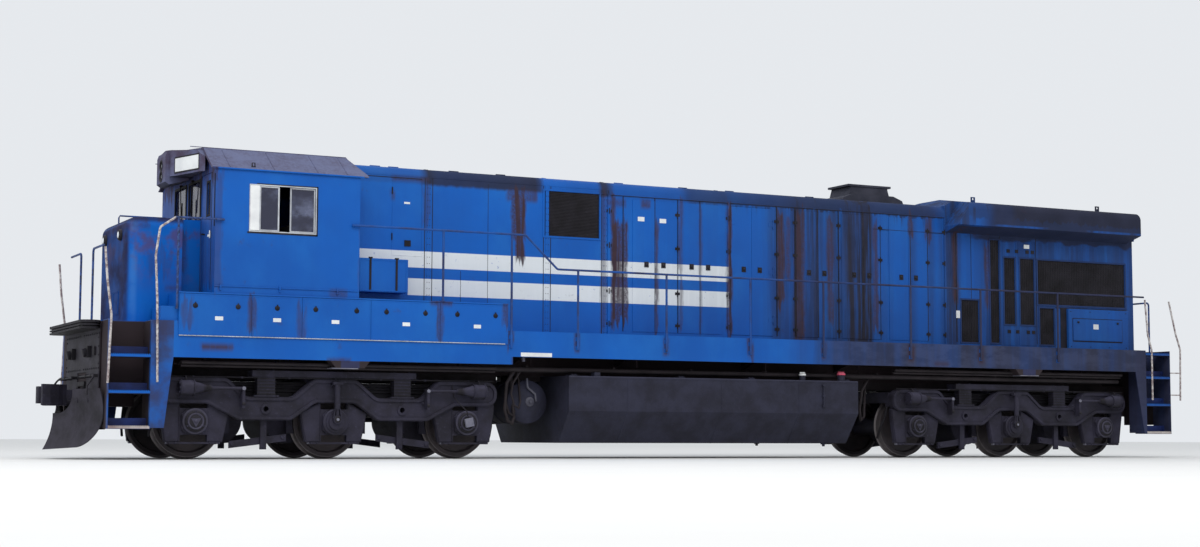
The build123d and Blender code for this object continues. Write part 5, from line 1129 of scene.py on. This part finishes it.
# The rear hood's end: blank number boards, ladder rungs, door outlines and lamps
rear_boards, rear_trim, rear_rims, rear_lamps = pieces(4)
REAR_X = 9.335
rear_boards.box((REAR_X, REAR_X + 0.010), about(0.62, 0.28), (3.98, 4.16))
rear_trim.ring((9.336, 9.336), about(0.62, 0.31), (3.95, 4.19), 0.03, 0.014)
rear_trim.ring((9.336, 9.336), about(0.20, 0.12), (2.05, 3.80), 0.010, 0.005)
for z in (2.20, 2.55, 2.90, 3.25, 3.60):
    rear_trim.pipe([(REAR_X, 0.72, z), (9.400, 0.72, z), (9.400, 0.36, z), (REAR_X, 0.36, z)], 0.011, 8)
rear_lamp = (REAR_X, 0.74, 3.74)
rear_rims.turned(rear_lamp, (1, 0, 0), [(0, 0.075), (0.030, 0.072), (0.040, 0.056)], 24)
rear_lamps.turned(rear_lamp, (1, 0, 0), [(0.040, 0.054), (0.050, 0.030), (0.053, 0)], 24)
rear_boards.make("rear_blank_number_boards", plate_white, bevel=0.002)
rear_trim.make("rear_hood_fittings", blue_plain)
rear_rims.make("rear_lamp_rims", black)
rear_lamps.make("rear_lamp_lenses", lamp_glass)

# Roofs: straps over the seams, hatches with their handles, and the brackets and seams of the cab roof
straps, brackets, roof_lines = pieces(3)
ROOF_Z = 4.366
HATCHES = ((-5.6, -4.9), (-4.3, -3.1), (-1.4, 0.2), (0.7, 2.7))
straps.sides = MIDDLE
for x in HOOD_SEAMS + (0.46, 2.98):
    straps.box(about(x, 0.035), (-0.755, 0.755), (ROOF_Z, ROOF_Z + 0.008))
    for k in range(13):
        straps.bolt((x, -0.72 + 0.12 * k, ROOF_Z + 0.008), UPWARD, 0.010, 0.006)
for hatch in HATCHES:
    straps.box(hatch, (-0.60, 0.60), (ROOF_Z, ROOF_Z + 0.014))
straps.sides = BOTH
for x0, x1 in HATCHES:
    for x in (x0 + 0.2, x1 - 0.2):
        straps.pipe([(x - 0.08, 0.45, 4.378), (x - 0.08, 0.45, 4.42), (x + 0.08, 0.45, 4.42),
                     (x + 0.08, 0.45, 4.378)], 0.009, 8)
straps.make("roof_straps_and_hatches", blue, bevel=0.003)
brackets.box((-7.63, -7.57), (1.42, 1.46), (4.118, 4.135))
brackets.pipe([(x, 1.45, z) for x, z in ((-7.62, 4.13), (-7.62, 4.185), (-7.58, 4.185), (-7.58, 4.13))],
              0.009, 8)
brackets.make("cab_roof_brackets", black)
roof_lines.pipe([(-8.40, 1.000, 4.428), (-6.06, 1.000, 4.428)], 0.006, 6)
for x in (-7.95, -7.30, -6.65, -6.20):
    roof_lines.pipe([(x, 1.49, 4.105), (x, 1.000, 4.428)], 0.005, 6)
roof_lines.make("cab_roof_seams", roof_grey)

# Floor and light
floor_look = Look("floor")
floor_look.set(Base_Color=floor_look.blend(floor_look.noise(0.8, 3), (226, 226, 224), (232, 232, 231)),
               Roughness=0.9)
floor_mesh = bpy.data.meshes.new("floor")
floor_mesh.from_pydata([(-150, -120, 0), (150, -120, 0), (150, 160, 0), (-150, 160, 0)], [], [(0, 1, 2, 3)])
floor = bpy.data.objects.new("floor", floor_mesh)
floor_mesh.materials.append(floor_look.material)
bpy.context.collection.objects.link(floor)

world = bpy.data.worlds.new("studio")
bpy.context.scene.world = world
world.use_nodes = True
background = world.node_tree.nodes["Background"]
background.inputs[0].default_value = (0.93, 0.96, 1.0, 1)
background.inputs[1].default_value = 0.85


def area_light(name, at, target, size, power, colour):
    data = bpy.data.lights.new(name, "AREA")
    data.shape = "RECTANGLE"
    data.size, data.size_y = size
    data.energy = power
    data.color = colour
    light = bpy.data.objects.new(name, data)
    light.location = at
    light.rotation_euler = (Vector(target) - Vector(at)).to_track_quat("-Z", "Y").to_euler()
    bpy.context.collection.objects.link(light)


area_light("key", (-10, -22, 24), (0, 0, 2), (24, 14), 4200, (1.0, 0.98, 0.95))
area_light("fill", (-30, -6, 12), (-5, 0, 2), (12, 10), 1200, (0.95, 0.97, 1.0))
